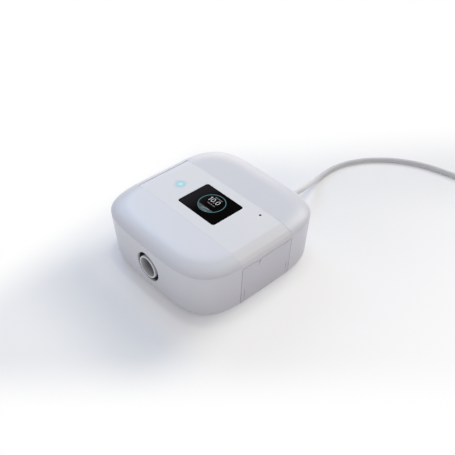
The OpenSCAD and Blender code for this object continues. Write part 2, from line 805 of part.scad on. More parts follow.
module motor_wires() {
    color([0.7, 0.15, 0.12]) for (k = [0 : 2])
        swept_tube([[blower_spot.x + motor_r + 4, 3.2 + 2.4 * k, 12], [-3, 3.2 + 2.4 * k, 12], [4, 4 + 2.4 * k, 12.8],
                    [11, 5 + 2.4 * k, 13.6], [15.6, 6 + 2.4 * k, 13.4], [17, 6 + 2.4 * k, 12],
                    [17, 6 + 2.4 * k, board_top]], wire_r, 8, [0, 1, 0]);
}

module inlet_wires() {
    color([0.45, 0.25, 0.12]) for (x = [[inlet_x - inlet_pin_x, -3.4], [inlet_x + inlet_pin_x, 12]])
        swept_tube([[x.x, 57, inlet_z], [x.x, 55.2, inlet_z], [(x.x + x.y) / 2, 54.2, inlet_z - 1.2],
                    [x.y, 54, 12], [x.y, 54, psu_top]], wire_r, 8, [1, 0, 0]);
}

nipple_y = -53.4;
nipple_x = outlet_x + 14.6;
pressure_route = [
    [sensor_x, sensor_y, board_top + 9], [sensor_x, sensor_y, board_top + 11.4],
    [sensor_x + 0.6, sensor_y - 3, board_top + 15.4], [sensor_x + 1.4, sensor_y - 9, outlet_z],
    [sensor_x + 2, -42, outlet_z], [sensor_x + 0.6, -49, outlet_z], [nipple_x + 4, nipple_y + 0.6, outlet_z],
    [nipple_x + 2, nipple_y, outlet_z], [nipple_x, nipple_y, outlet_z]
];

module pressure_tube() {
    color([0.85, 0.88, 0.90]) swept_tube(pressure_route, 1.6, 8, [1, 1, 0]);
}

// Figure-of-eight outline of the mains connector, drawn in X and Z
module lead_eight(r) {
    for (x = [-1, 1]) translate([x * 3.2, 0]) circle(r = r);
    square([6.4, 2 * r], center = true);
}

nose_r = 3.9;
inlet_pin_r = 1.2;
inlet_pin_x = 4.3;

module mains_inlet() {
    color(rubber_dark) difference() {
        block([inlet_x - 9.8, inlet_x + 9.8], [57, back_y], [inlet_z - 6.8, inlet_z + 6.8]);
        translate([inlet_x, 0, inlet_z]) along_y(64, back_y + 1) lead_eight(nose_r + 0.2);
    }
    color(steel) translate([inlet_x, 0, inlet_z])
        for (x = [-1, 1]) translate([x * inlet_pin_x, 0, 0]) rod_y(inlet_pin_r, 63, 71);
}

module board_screws() {
    color(steel) {
        for (s = [for (p = main_screw_spots) [p.x, p.y, board_top], for (p = psu_screw_spots) [p.x, p.y, psu_top]])
            translate(s) {
                translate([0, 0, 0]) cylinder(r = 2.2, h = 1.4);
                translate([0, 0, -4]) cylinder(r = 1.2, h = 4);
            }
        at_spots(ui_screw_spots) {
            translate([0, 0, ui_z - 1.2]) cylinder(r = 2, h = 1.2);
            translate([0, 0, ui_z]) cylinder(r = 1, h = 3.6);
        }
    }
}

// ---- Mains lead ----

cord_r = cord_d / 2;
connector_y = [back_y, 90];
relief_end_y = 112;

module cord_connector() {
    color(cord_grey) translate([inlet_x, 0, inlet_z]) difference() {
        union() {
            along_y(64.4, connector_y[0] + 1) lead_eight(nose_r);
            along_y(connector_y[0], connector_y[1] - 4) lead_eight(5.2);
            along_y(connector_y[1] - 4, connector_y[1]) lead_eight(4.4);
        }
        for (x = [-1, 1]) translate([x * inlet_pin_x, 0, 0]) rod_y(inlet_pin_r + 0.1, 64, 72);
    }
}

module cord_strain_relief() {
    color(cord_grey) translate([inlet_x, connector_y[1], inlet_z]) rotate([-90, 0, 0])
        cylinder(r1 = 4.2, r2 = cord_r + 0.4, h = relief_end_y - connector_y[1]);
}

// The lead's way over the table: down from the relief, round to the right and on to the coil
coil_spot = [180, 236];
coil_pitch = cord_d + 0.5;
coil_min_r = 21.5;
coil_base_z = cord_r + 1;
coil_start = [coil_spot.x, coil_spot.y + coil_min_r + coil_pitch * turns_in, coil_base_z];
cord_route = [
    [6, 112, 16], [6, 118, 16], [4.4, 126, 14.8], [1, 137, 11.2], [-2.6, 148, 7], [-6, 159, 4],
    [-7.8, 170, 2.75], [-8, 181, 2.75], [-6.6, 192, 2.75], [-3.6, 203, 2.75], [1, 213, 2.75],
    [7, 223, 2.75], [14.4, 232, 2.75], [23, 241, 2.75], [33, 249, 2.75], [44, 256, 2.75],
    [56, 261.6, 2.75], [69, 265.6, 2.75], [82, 268.6, 2.75], [95, 271.2, 2.75], [108, 273.6, 2.75],
    [121, 275.8, 2.75], [134, 277.6, 2.9], [147, 279, 3.3], coil_start - [20, 0, 0], coil_start - [8, 0, 0]
];

module cord_run() {
    color(cord_grey) swept_tube(cord_route, cord_r, 8);
}

// The coil winds inward on the table, climbs a layer where it turns back, and winds outward on top
ring_steps = 24;
coil_turns = turns_in + turns_out;
climb_from = turns_in - 0.25;
function coil_radius(t) = coil_min_r + coil_pitch * abs(turns_in - t);
function climb(t) = let (s = min(max((t - climb_from) / 0.5, 0), 1)) s * s * (3 - 2 * s);
function coil_point(t) = let (a = 90 - 360 * t, r = coil_radius(t))
    [coil_spot.x + r * cos(a), coil_spot.y + r * sin(a), coil_base_z + coil_pitch * climb(t)];
coil_end = coil_point(coil_turns);
coil_route = concat(
    [coil_start - [8, 0, 0]],
    [for (i = [0 : coil_turns * ring_steps]) coil_point(i / ring_steps)],
    [coil_end - [0, 8, 0]]
);
// Least clear gap of the coil to itself, over points more than a third of a turn apart
coil_gap = min([
    for (i = [0 : len(coil_route) - 1]) for (j = [i + 8 : 1 : len(coil_route) - 1])
        norm(coil_route[i] - coil_route[j]) - cord_d
]);
function run_length(p) = len(p) < 2 ? 0 : let (d = [for (i = [1 : len(p) - 1]) norm(p[i] - p[i - 1])])
    d * [for (v = d) 1];

module cord_coil() {
    color(cord_grey) swept_tube(coil_route, cord_r, 6);
}

plug_z = 8.6;
relief_y = [coil_end.y - 60, coil_end.y - 38];
tail_route = [
    coil_end - [0, 8, 0], coil_end - [0, 15, 0], [coil_end.x, coil_end.y - 23, 9.2],
    [coil_end.x, coil_end.y - 31, plug_z], [coil_end.x, relief_y[1], plug_z]
];

module cord_tail() {
    color(cord_grey) swept_tube(tail_route, cord_r, 8);
}

// Strap round the coil's turns, on the side away from the lead's two ends
tie_angle = 315;
tie_t = 0.8;
tie_w = 10;

module cord_tie() {
    r_in = coil_min_r - cord_r + 0.9;
    r_out = coil_radius(0) + cord_r - 1.5;
    top = coil_base_z + coil_pitch + cord_r + 0.3;
    color(rubber_dark) translate([coil_spot.x, coil_spot.y, 0]) rotate([90, 0, tie_angle])
        translate([0, 0, -tie_w / 2]) linear_extrude(height = tie_w) difference() {
            translate([r_in - tie_t, 0]) square([r_out - r_in + 2 * tie_t, top + tie_t]);
            translate([r_in, tie_t]) square([r_out - r_in, top - tie_t]);
        }
}

module plug_strain_relief() {
    color(cord_grey) translate([coil_end.x, relief_y[1], plug_z]) rotate([90, 0, 0])
        cylinder(r1 = cord_r + 0.4, r2 = 4.6, h = relief_y[1] - relief_y[0]);
}

plug_len = 30;
plug_front_y = relief_y[0] - plug_len;

module wall_plug() {
    color(cord_grey) translate([coil_end.x, 0, plug_z]) difference() {
        union() {
            along_y(plug_front_y, plug_front_y + 3) rounded_plate(25, 2 * plug_z, 4);
            along_y(plug_front_y + 3, relief_y[0] - 6) rounded_plate(22, 2 * plug_z - 2, 4);
            along_y(relief_y[0] - 6, relief_y[0]) rounded_plate(15, 2 * plug_z - 5, 4);
        }
        for (x = [-6.35, 6.35]) block([x - 0.75, x + 0.75], [plug_front_y - 1, plug_front_y + 6], [-3.2, 3.2]);
    }
}

module rounded_plate(w, h, r) {
    square([w - 2 * r, h], center = true);
    square([w, h - 2 * r], center = true);
    for (x = [-1, 1], y = [-1, 1]) translate([x * (w / 2 - r), y * (h / 2 - r)]) circle(r = r);
}

module plug_blades() {
    color([0.80, 0.72, 0.45]) translate([coil_end.x, 0, plug_z])
        for (x = [-6.35, 6.35]) difference() {
            block([x - 0.75, x + 0.75], [plug_front_y - 16, plug_front_y + 6], [-3.2, 3.2]);
            translate([x - 2, plug_front_y - 12, 0]) rotate([0, 90, 0]) cylinder(r = 1.5, h = 4);
        }
}

echo(cord_length = run_length(cord_route) + run_length(coil_route) + run_length(tail_route));
echo(coil_gap = coil_gap);

bottom_case();
upper_shell();
top_panel();
side_door();
rubber_feet();
case_screws();
display_glass();
display_module();
ui_board();
power_button();
button_lens();
button_switch();
light_sensor_lens();
outlet_tube();
outlet_cup();
outlet_coupling();
blower_base();
blower_lid();
blower_dampers();
impeller();
motor_rotor();
motor_stator();
motor_bearings();
intake_duct();
duct_foam();
filter_frame();
pollen_filter();
fine_filter();
main_board();
processor_chips();
pressure_sensor();
pressure_tube();
alarm_buzzer();
riser_board();
memory_card_socket();
memory_card();
usb_port();
service_bezel();
ribbon_cable();
motor_wires();
power_supply_board();
transformer();
bulk_capacitors();
heat_sink();
mains_filter_coil();
insulator_sheet();
inlet_wires();
mains_inlet();
board_screws();
cord_connector();
cord_strain_relief();
cord_run();
cord_coil();
cord_tail();
cord_tie();
plug_strain_relief();
wall_plug();
plug_blades();
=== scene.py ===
import math

import bmesh
import bpy
import numpy as np
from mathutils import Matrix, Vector


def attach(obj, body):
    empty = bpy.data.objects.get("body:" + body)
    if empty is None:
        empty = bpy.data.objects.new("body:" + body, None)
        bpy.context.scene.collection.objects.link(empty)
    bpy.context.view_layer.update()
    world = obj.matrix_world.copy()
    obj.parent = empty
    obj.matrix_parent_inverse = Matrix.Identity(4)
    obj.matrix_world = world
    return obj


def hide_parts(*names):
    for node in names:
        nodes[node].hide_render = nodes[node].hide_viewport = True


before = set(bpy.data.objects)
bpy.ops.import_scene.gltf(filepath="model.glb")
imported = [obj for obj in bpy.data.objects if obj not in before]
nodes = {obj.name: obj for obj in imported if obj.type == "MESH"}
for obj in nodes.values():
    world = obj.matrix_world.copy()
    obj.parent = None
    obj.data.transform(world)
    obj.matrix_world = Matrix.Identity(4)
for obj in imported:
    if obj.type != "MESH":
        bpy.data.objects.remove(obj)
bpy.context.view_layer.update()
scene = bpy.context.scene
scene.view_settings.view_transform = "Standard"
MM = 0.001

# ---------------------------------- camera

AZIMUTH, ELEVATION = math.radians(47.687), math.radians(40.724)
SENSOR_MM, FOCAL_PX, PICTURE_PX = 36, 688.68, 455
AIM_Z = 29
SHIFT_RIGHT, SHIFT_UP, DISTANCE = 15.32, 0.235, 635.15

level = math.cos(ELEVATION)
back = Vector((math.sin(AZIMUTH) * level, -math.cos(AZIMUTH) * level, math.sin(ELEVATION)))
right = Vector((math.cos(AZIMUTH), math.sin(AZIMUTH), 0))
upward = right.cross(-back)
camera = bpy.data.objects.new("camera", bpy.data.cameras.new("camera"))
scene.collection.objects.link(camera)
scene.camera = camera
camera.data.sensor_width = SENSOR_MM
camera.data.lens = SENSOR_MM * FOCAL_PX / PICTURE_PX
camera.data.clip_start, camera.data.clip_end = 0.02, 30
aim = Vector((0, 0, AIM_Z * MM))
camera.location = aim + right * SHIFT_RIGHT * MM + upward * SHIFT_UP * MM + back * DISTANCE * MM
camera.rotation_mode = "QUATERNION"
camera.rotation_quaternion = (-back).to_track_quat("-Z", "Y")

# ---------------------------------- sizes, in millimetres, as in the CAD

CASE_W, CASE_H, PART_Z = 150.0, 58.0, 51.0
HALF = CASE_W / 2
SQUARENESS = 4.2
WALL = 2.4
DOME_RUN, DOME_START = 20.0, math.radians(8)
TAPER, EDGE_RUN, EDGE_RISE, FOOT_H = 2.0, 8.0, 9.0, 1.0
FLAT_HALF = HALF - TAPER - EDGE_RUN
INNER_HALF = HALF - WALL
FLOOR_Z = FOOT_H + WALL
CEILING_Z = 53.6
SIDE_Z = 30
SIDE = (SIDE_Z, HALF - TAPER * (PART_Z - SIDE_Z) / (PART_Z - FOOT_H - EDGE_RISE))
PARTING = 0.06
PANEL_FRONT, PANEL_BACK, PANEL_T = 30.4, 28.2, 2.2
CREASE_X = 61.0
LIP_Z = 48.2
SEAM = 0.06
GLASS = dict(x=0.6, y=-0.6, w=48.6, d=36.4, t=1.6)
BUTTON = (-40.0, -1.7)
SENSOR = (42.0, 21.2)
OUTLET = (1.0, 27.5)
RECESS_R = 14.3
FRONT_Y = -HALF + 0.6
RECESS_FLOOR_Y = FRONT_Y + 16
TUBE_IN, TUBE_OUT = 9.3, 11
CUP_IN, CUP_OUT = 15, 16.4
HINGE_X, HINGE_Z = 70.5, 7.2
DOOR_TOP, DOOR_GAP, DOOR_T = 47.75, 0.45, 2.2
NOTCH_Y = -9.0
INLET, INLET_PIN_X = (6.0, 16.0), 4.3
BEZEL_X, BEZEL_TOP = 57, 46
SCREW_SPOTS = [(x, y) for x in (-50, 50) for y in (-50, 50)]
FOOT_SPOTS = [(x, y) for x in (-50, 50) for y in (-36, 36)]

# ---------------------------------- mesh helpers


def new_piece(name, verts, faces):
    mesh = bpy.data.meshes.new(name)
    mesh.from_pydata([tuple(float(c) * MM for c in v) for v in verts], [], [list(map(int, f)) for f in faces])
    mesh.validate()
    piece = bpy.data.objects.new(name, mesh)
    scene.collection.objects.link(piece)
    return piece


def facing_out(piece):
    bm = bmesh.new()
    bm.from_mesh(piece.data)
    bmesh.ops.remove_doubles(bm, verts=bm.verts, dist=1e-7)
    bmesh.ops.recalc_face_normals(bm, faces=bm.faces)
    bm.to_mesh(piece.data)
    bm.free()
    return piece


def settle(piece):
    """Applies the piece's modifiers."""
    bpy.context.view_layer.update()
    mesh = bpy.data.meshes.new_from_object(piece.evaluated_get(bpy.context.evaluated_depsgraph_get()))
    piece.modifiers.clear()
    old = piece.data
    piece.data = mesh
    mesh.name = piece.name
    bpy.data.meshes.remove(old)
    return piece


def combine(piece, tool, how="DIFFERENCE"):
    m = piece.modifiers.new("cut", "BOOLEAN")
    m.operation, m.solver, m.object = how, "EXACT", tool
    settle(piece)
    bpy.data.objects.remove(tool)


def round_edges(piece, width, segments=2):
    m = piece.modifiers.new("edge", "BEVEL")
    m.width, m.segments = width * MM, segments
    m.limit_method, m.angle_limit = "ANGLE", math.radians(35)
    m.use_clamp_overlap = True
    m.miter_outer = "MITER_ARC"
    return settle(piece)


def shade(piece, angle=40, weighted=True):
    piece.data.shade_smooth()
    piece.data.set_sharp_from_angle(angle=math.radians(angle))
    if weighted:
        m = piece.modifiers.new("normals", "WEIGHTED_NORMAL")
        m.keep_sharp, m.weight, m.mode = True, 60, "FACE_AREA_WITH_ANGLE"
        settle(piece)
    return piece


def unit_outline(count):
    """Evenly spaced points of the rounded-square outline with a half width of one."""
    t = np.linspace(0, 2 * np.pi, 20001)
    c, s = np.cos(t), np.sin(t)
    p = np.stack([np.sign(c) * np.abs(c) ** (2 / SQUARENESS), np.sign(s) * np.abs(s) ** (2 / SQUARENESS)], 1)
    run = np.concatenate([[0], np.cumsum(np.linalg.norm(np.diff(p, axis=0), axis=1))])
    want = np.linspace(0, run[-1], count, endpoint=False)
    return np.stack([np.interp(want, run, p[:, k]) for k in (0, 1)], 1)


OUTLINE = unit_outline(224)


def ring_faces(count, n):
    """Faces of a closed solid through count rings of n points; its two ends are capped."""
    faces = [[k * n + i, k * n + (i + 1) % n, (k + 1) * n + (i + 1) % n, (k + 1) * n + i]
             for k in range(count - 1) for i in range(n)]
    return faces + [list(range(n))[::-1], [(count - 1) * n + i for i in range(n)]]


def lofted(name, rings):
    """A closed solid with the case's outline through rings of (height, half width)."""
    verts = [(x * h, y * h, z) for z, h in rings for x, y in OUTLINE]
    return facing_out(new_piece(name, verts, ring_faces(len(rings), len(OUTLINE))))


def stacked(name, sections, place):
    """A moulding through outlines of equal point counts; sections are (outline, along)."""
    verts = [place(a, b, t) for outline, t in sections for a, b in outline]
    return facing_out(new_piece(name, verts, ring_faces(len(sections), len(sections[0][0]))))


def box(name, x, y, z):
    verts = [(a, b, c) for c in z for b in y for a in x]
    faces = [[0, 2, 3, 1], [4, 5, 7, 6], [0, 1, 5, 4], [2, 6, 7, 3], [0, 4, 6, 2], [1, 3, 7, 5]]
    return new_piece(name, verts, faces)


def around(middle, half):
    return (middle - half, middle + half)


def soften(points, radius, steps=4, closed=True):
    """Rounds the corners of an outline. radius is one number, or one for each point."""
    pts = [np.array(p, float) for p in points]
    n = len(pts)
    radii = radius if hasattr(radius, "__len__") else [radius] * n
    out = []
    for i in range(n):
        if (not closed and i in (0, n - 1)) or radii[i] <= 0:
            out.append(tuple(pts[i]))
            continue
        a, b, c = pts[i - 1], pts[i], pts[(i + 1) % n]
        u, v = (a - b) / np.linalg.norm(a - b), (c - b) / np.linalg.norm(c - b)
        half = math.acos(max(-1, min(1, float(u @ v)))) / 2
        longest = [0.48 * np.linalg.norm(side) for side in (a - b, c - b)]
        reach = min(radii[i] / max(math.tan(half), 1e-3), *longest)
        r = reach * math.tan(half)
        centre = b + (u + v) / np.linalg.norm(u + v) * (r / math.sin(half))
        start, end = b + u * reach - centre, b + v * reach - centre
        turn = math.atan2(start[0] * end[1] - start[1] * end[0], float(start @ end))
        for k in range(steps + 1):
            t = turn * k / steps
            out.append(tuple(centre + np.array([start[0] * math.cos(t) - start[1] * math.sin(t),
                                                start[0] * math.sin(t) + start[1] * math.cos(t)])))
    return out


def extruded(name, outline, place, low, high):
    """A prism. place(a, b, t) puts the outline's point (a, b) at t along the prism."""
    n = len(outline)
    verts = [place(a, b, low) for a, b in outline] + [place(a, b, high) for a, b in outline]
    faces = [list(range(n)), list(range(n, 2 * n))[::-1]]
    faces += [[i, n + i, n + (i + 1) % n, (i + 1) % n] for i in range(n)]
    return facing_out(new_piece(name, verts, faces))


def turned(name, profile, origin, axis, steps=96, closed=True):
    """A turned piece: profile is (radius, along) points, and an open one meets the axis."""
    axis = Vector(axis).normalized()
    side = axis.orthogonal().normalized()
    other = axis.cross(side)
    verts, n = [], len(profile)
    for k in range(steps):
        t = 2 * math.pi * k / steps
        for r, h in profile:
            p = Vector(origin) + axis * h + (side * math.cos(t) + other * math.sin(t)) * r
            verts.append(tuple(p))
    rows = n if closed else n - 1
    faces = [[k * n + i, ((k + 1) % steps) * n + i, ((k + 1) % steps) * n + (i + 1) % n, k * n + (i + 1) % n]
             for k in range(steps) for i in range(rows)]
    return facing_out(new_piece(name, verts, faces))


def rod(radius, low, high):
    """The profile of a plain rod."""
    return [(0, low), (radius, low), (radius, high), (0, high)]


def sleeve(inner, outer, low, high):
    """The profile of a plain tube."""
    return [(inner, low), (outer, low), (outer, high), (inner, high)]


def upright(name, profile, at, steps, closed=False):
    """A piece turned round a vertical axis; at is its X and Y."""
    return turned(name, profile, (*at, 0), (0, 0, 1), steps, closed)


def lying(name, profile, at, steps, closed=False, start=0):
    """A piece turned round an axis along Y; at is its X and Z."""
    return turned(name, profile, (at[0], start, at[1]), (0, 1, 0), steps, closed)


def swept(name, line, radius, sides):
    """A round tube along a line of points, closed at both ends."""
    pts = [Vector(p) for p in line]
    verts, n = [], len(pts)
    up = Vector((0, 0, 1))
    for i, p in enumerate(pts):
        along = (pts[min(i + 1, n - 1)] - pts[max(i - 1, 0)]).normalized()
        side = along.cross(up).normalized()
        top = side.cross(along)
        for k in range(sides):
            t = 2 * math.pi * k / sides
            verts.append(tuple(p + (top * math.cos(t) + side * math.sin(t)) * radius))
    return facing_out(new_piece(name, verts, ring_faces(n, sides)))


def join(name, pieces):
    """Joins pieces that are one moulding or one finish."""
    bm = bmesh.new()
    for p in pieces:
        bm.from_mesh(p.data)
    mesh = bpy.data.meshes.new(name)
    bm.to_mesh(mesh)
    bm.free()
    for p in pieces:
        bpy.data.objects.remove(p)
    piece = bpy.data.objects.new(name, mesh)
    scene.collection.objects.link(piece)
    return piece


def hand_over(piece, material, body, stands_for):
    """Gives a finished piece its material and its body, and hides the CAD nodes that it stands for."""
    piece.data.materials.clear()
    piece.data.materials.append(material)
    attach(piece, body)
    if stands_for:
        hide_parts(*stands_for)


def on_top(a, b, t):
    return (a, b, t)


def along_y(a, b, t):
    return (a, t, b)


def rounded_box_outline(w, h, r, steps=8):
    return soften([(-w / 2, -h / 2), (w / 2, -h / 2), (w / 2, h / 2), (-w / 2, h / 2)], r, steps)


# ---------------------------------- shared surface effects


def effect(name, inputs, outputs):
    """A shared node group. Inputs that are tuples and outputs called Color are colours, the rest numbers."""
    tree = bpy.data.node_groups.new(name, "ShaderNodeTree")
    for n, value in inputs.items():
        kind = "NodeSocketColor" if isinstance(value, tuple) else "NodeSocketFloat"
        tree.interface.new_socket(name=n, in_out="INPUT", socket_type=kind).default_value = value
    for n in outputs:
        kind = "NodeSocketColor" if n == "Color" else "NodeSocketFloat"
        tree.interface.new_socket(name=n, in_out="OUTPUT", socket_type=kind)
    return tree, tree.nodes.new("NodeGroupInput"), tree.nodes.new("NodeGroupOutput")


def feed(node, name, source):
    node.id_data.links.new(source, node.inputs[name])


def calc(tree, how, a, b=None):
    node = tree.nodes.new("ShaderNodeMath")
    node.operation = how
    for i, v in enumerate((a, b)):
        if v is None:
            continue
        if isinstance(v, (int, float)):
            node.inputs[i].default_value = v
        else:
            feed(node, i, v)
    return node.outputs[0]


def blended(tree, share, a, b):
    node = tree.nodes.new("ShaderNodeMix")
    node.data_type = "RGBA"
    for socket, v in ((node.inputs[0], share), (node.inputs[6], a), (node.inputs[7], b)):
        if isinstance(v, (int, float)):
            socket.default_value = v
        elif isinstance(v, (tuple, list)):
            socket.default_value = (*v, 1) if len(v) == 3 else v
        else:
            tree.links.new(v, socket)
    return node.outputs[2]


def object_coords(tree):
    return tree.nodes.new("ShaderNodeTexCoord").outputs["Object"]


def dial(node, values):
    for name, value in values.items():
        node.inputs[name].default_value = value


def noise(tree, scale, detail, rough, vector=None):
    node = tree.nodes.new("ShaderNodeTexNoise")
    dial(node, {"Detail": detail, "Roughness": rough})
    if isinstance(scale, (int, float)):
        dial(node, {"Scale": scale})
    else:
        feed(node, "Scale", scale)
    feed(node, "Vector", object_coords(tree) if vector is None else vector)
    return node.outputs["Fac"]


def make_moulded_grain():
    """The fine texture of a moulded skin."""
    tree, put, out = effect("moulded_grain", {"Scale": 2500.0}, ["Height"])
    feed(out, "Height", noise(tree, put.outputs["Scale"], 3, 0.6))
    return tree


def make_handling():
    """Slight unevenness of colour and sheen that hands and dust leave."""
    inputs = {"Color": (1, 1, 1, 1), "Soil": (0.5, 0.5, 0.5, 1), "Amount": 0.1, "Roughness": 0.4}
    tree, put, out = effect("handling", inputs, ["Color", "Roughness"])
    smear = noise(tree, 24.0, 5, 0.62)
    share = calc(tree, "MULTIPLY", smear, put.outputs["Amount"])
    feed(out, "Color", blended(tree, share, put.outputs["Color"], put.outputs["Soil"]))
    shift = calc(tree, "MULTIPLY", calc(tree, "SUBTRACT", noise(tree, 55.0, 4, 0.6), 0.5), 0.14)
    feed(out, "Roughness", calc(tree, "ADD", put.outputs["Roughness"], shift))
    return tree


def make_dust():
    """Dust that settles on faces that look up."""
    tree, put, out = effect("dust", {"Color": (1, 1, 1, 1), "Amount": 0.1}, ["Color"])
    up = tree.nodes.new("ShaderNodeNewGeometry").outputs["Normal"]
    split = tree.nodes.new("ShaderNodeSeparateXYZ")
    feed(split, 0, up)
    facing = calc(tree, "MAXIMUM", split.outputs[2], 0.0)
    speckle = calc(tree, "MULTIPLY", facing, noise(tree, 300.0, 6, 0.7))
    share = calc(tree, "MULTIPLY", speckle, put.outputs["Amount"])
    feed(out, "Color", blended(tree, share, put.outputs["Color"], (0.55, 0.54, 0.52)))
    return tree


moulded_grain = make_moulded_grain()
handling = make_handling()
dust = make_dust()


def start(name):
    material = bpy.data.materials.new(name)
    material.use_nodes = True
    tree = material.node_tree
    return material, tree, tree.nodes["Principled BSDF"]


def place(tree, group, **values):
    node = tree.nodes.new("ShaderNodeGroup")
    node.node_tree = group
    for k, v in values.items():
        socket = node.inputs[k]
        if isinstance(v, tuple):
            socket.default_value = (*v, 1) if len(v) == 3 else v
        else:
            socket.default_value = v
    return node


def bump(tree, shader, height, distance, strength=0.5):
    node = tree.nodes.new("ShaderNodeBump")
    node.inputs["Strength"].default_value = strength
    node.inputs["Distance"].default_value = distance * MM
    feed(node, "Height", height)
    feed(shader, "Normal", node.outputs[0])


def moulded(name, color, rough=0.4, uneven=0.06, grain=2600.0, depth=0.012, specular=0.5, dusty=0.0):
    material, tree, shader = start(name)
    soil = tuple(0.6 * c for c in color)
    hands = place(tree, handling, Color=color, Soil=soil, Amount=uneven, Roughness=rough)
    skin = place(tree, moulded_grain, Scale=grain)
    if dusty:
        film = place(tree, dust, Amount=dusty)
        feed(film, "Color", hands.outputs["Color"])
        feed(shader, "Base Color", film.outputs["Color"])
    else:
        feed(shader, "Base Color", hands.outputs["Color"])
    feed(shader, "Roughness", hands.outputs["Roughness"])
    dial(shader, {"Specular IOR Level": specular})
    bump(tree, shader, skin.outputs["Height"], depth)
    return material


def lit(name, color, under=(0.02, 0.02, 0.02)):
    """A surface that shines by itself."""
    material, tree, shader = start(name)
    soil = tuple(0.8 * c for c in color)
    hands = place(tree, handling, Color=color, Soil=soil, Amount=0.12, Roughness=0.25)
    feed(shader, "Emission Color", hands.outputs["Color"])
    feed(shader, "Roughness", hands.outputs["Roughness"])
    dial(shader, {"Base Color": (*under, 1), "Emission Strength": 1.0})
    return material


def brushed(name, color, rough=0.3, along="X"):
    """Metal with fine lines along one axis."""
    material, tree, shader = start(name)
    stretch = tree.nodes.new("ShaderNodeMapping")
    dial(stretch, {"Scale": {"X": (8, 900, 900), "Y": (900, 8, 900), "Z": (900, 900, 8)}[along]})
    feed(stretch, "Vector", object_coords(tree))
    lines = noise(tree, 1.0, 3, 0.6, stretch.outputs[0])
    soil = tuple(0.55 * c for c in color)
    hands = place(tree, handling, Color=color, Soil=soil, Amount=0.25, Roughness=rough)
    feed(shader, "Base Color", hands.outputs["Color"])
    uneven = calc(tree, "ADD", hands.outputs["Roughness"], calc(tree, "MULTIPLY", lines, 0.15))
    feed(shader, "Roughness", uneven)
    dial(shader, {"Metallic": 1.0})
    bump(tree, shader, lines, 0.01, 0.25)
    return material


def porous(name, color, cell, depth=0.5):
    """Foam or felt."""
    material, tree, shader = start(name)
    cells = tree.nodes.new("ShaderNodeTexVoronoi")
    dial(cells, {"Scale": cell})
    feed(cells, "Vector", object_coords(tree))
    # Painted shade: the hollows of the cells are darker.
    shaded_hollows = blended(tree, cells.outputs["Distance"], tuple(0.35 * c for c in color), color)
    feed(shader, "Base Color", shaded_hollows)
    dial(shader, {"Roughness": 0.95, "Sheen Weight": 0.3})
    bump(tree, shader, cells.outputs["Distance"], depth, 0.8)
    return material


def circuit(name, color, trace):
    """A board with solder mask over its tracks and scattered round pads."""
    material, tree, shader = start(name)
    coords = object_coords(tree)
    bricks = tree.nodes.new("ShaderNodeTexBrick")
    dial(bricks, {"Scale": 160, "Color1": (*color, 1), "Color2": (*[0.85 * c for c in color], 1),
                  "Mortar": (*trace, 1), "Mortar Size": 0.035})
    feed(bricks, "Vector", coords)
    pads = tree.nodes.new("ShaderNodeTexVoronoi")
    dial(pads, {"Scale": 260})
    feed(pads, "Vector", coords)
    dots = calc(tree, "LESS_THAN", pads.outputs["Distance"], 0.16)
    feed(shader, "Base Color", blended(tree, dots, bricks.outputs["Color"], (0.62, 0.60, 0.52)))
    dial(shader, {"Roughness": 0.35})
    bump(tree, shader, bricks.outputs["Fac"], 0.03, 0.4)
    return material


def wound(name, color, pitch=1300.0):
    """Enamelled wire, wound side by side."""
    material, tree, shader = start(name)
    wave = tree.nodes.new("ShaderNodeTexWave")
    wave.wave_type = "BANDS"
    wave.bands_direction = "Z"
    dial(wave, {"Scale": pitch})
    feed(wave, "Vector", object_coords(tree))
    # Painted shade: each turn darkens towards the grooves between turns.
    turns = blended(tree, wave.outputs["Fac"], tuple(0.4 * c for c in color), color)
    feed(shader, "Base Color", turns)
    dial(shader, {"Metallic": 0.8, "Roughness": 0.3})
    bump(tree, shader, wave.outputs["Fac"], 0.15, 0.6)
    return material


def graded(material, axis, start_at, end_at, color):
    """Turns the base colour towards another along one axis, between two places in millimetres."""
    tree = material.node_tree
    shader = tree.nodes["Principled BSDF"]
    split = tree.nodes.new("ShaderNodeSeparateXYZ")
    feed(split, 0, object_coords(tree))
    share = tree.nodes.new("ShaderNodeMapRange")
    share.interpolation_type = "SMOOTHSTEP"
    dial(share, {"From Min": start_at * MM, "From Max": end_at * MM})
    feed(share, "Value", split.outputs["XYZ".index(axis)])
    source = shader.inputs["Base Color"].links[0].from_socket
    feed(shader, "Base Color", blended(tree, share.outputs[0], source, color))


shell_white = moulded("shell_white", (0.682, 0.704, 0.778), 0.34, uneven=0.03, dusty=0.04)
# Painted light: the shell's top is lighter than its dome, towards the front only.
graded(shell_white, "Z", 56.8, 57.9, (0.750, 0.776, 0.858))
graded(shell_white, "Y", -10, 25, (0.682, 0.704, 0.778))
case_white = moulded("case_white", (0.748, 0.762, 0.820), 0.38, uneven=0.03, depth=0.02)
# Painted shade: the lower case darkens towards its bottom.
graded(case_white, "Z", 52, 2, (0.640, 0.650, 0.700))
# Painted shade: a darker copy of case_white for the door, which also darkens towards its bottom.
shaded_door_white = moulded("shaded_door_white", (0.705, 0.715, 0.772), 0.38, uneven=0.03, depth=0.02)
graded(shaded_door_white, "Z", 52, 2, (0.600, 0.606, 0.655))
panel_white = moulded("panel_white", (0.775, 0.793, 0.850), 0.46, uneven=0.03, depth=0.02, dusty=0.04)
# Painted shade: the panel's bevel beyond the +X crease is darker than its top.
graded(panel_white, "X", 60.2, 62.6, (0.715, 0.723, 0.768))
outlet_plastic = moulded("outlet_plastic", (0.74, 0.76, 0.80), 0.22, uneven=0.03, depth=0.004)
# Painted shade: the outlet tube darkens inwards from its mouth, where the bore lies in shade.
graded(outlet_plastic, "Y", -73.8, -68, (0.34, 0.36, 0.36))
cord_jacket = moulded("cord_jacket", (0.60, 0.61, 0.64), 0.42, uneven=0.08, grain=900, depth=0.02, dusty=0.06)
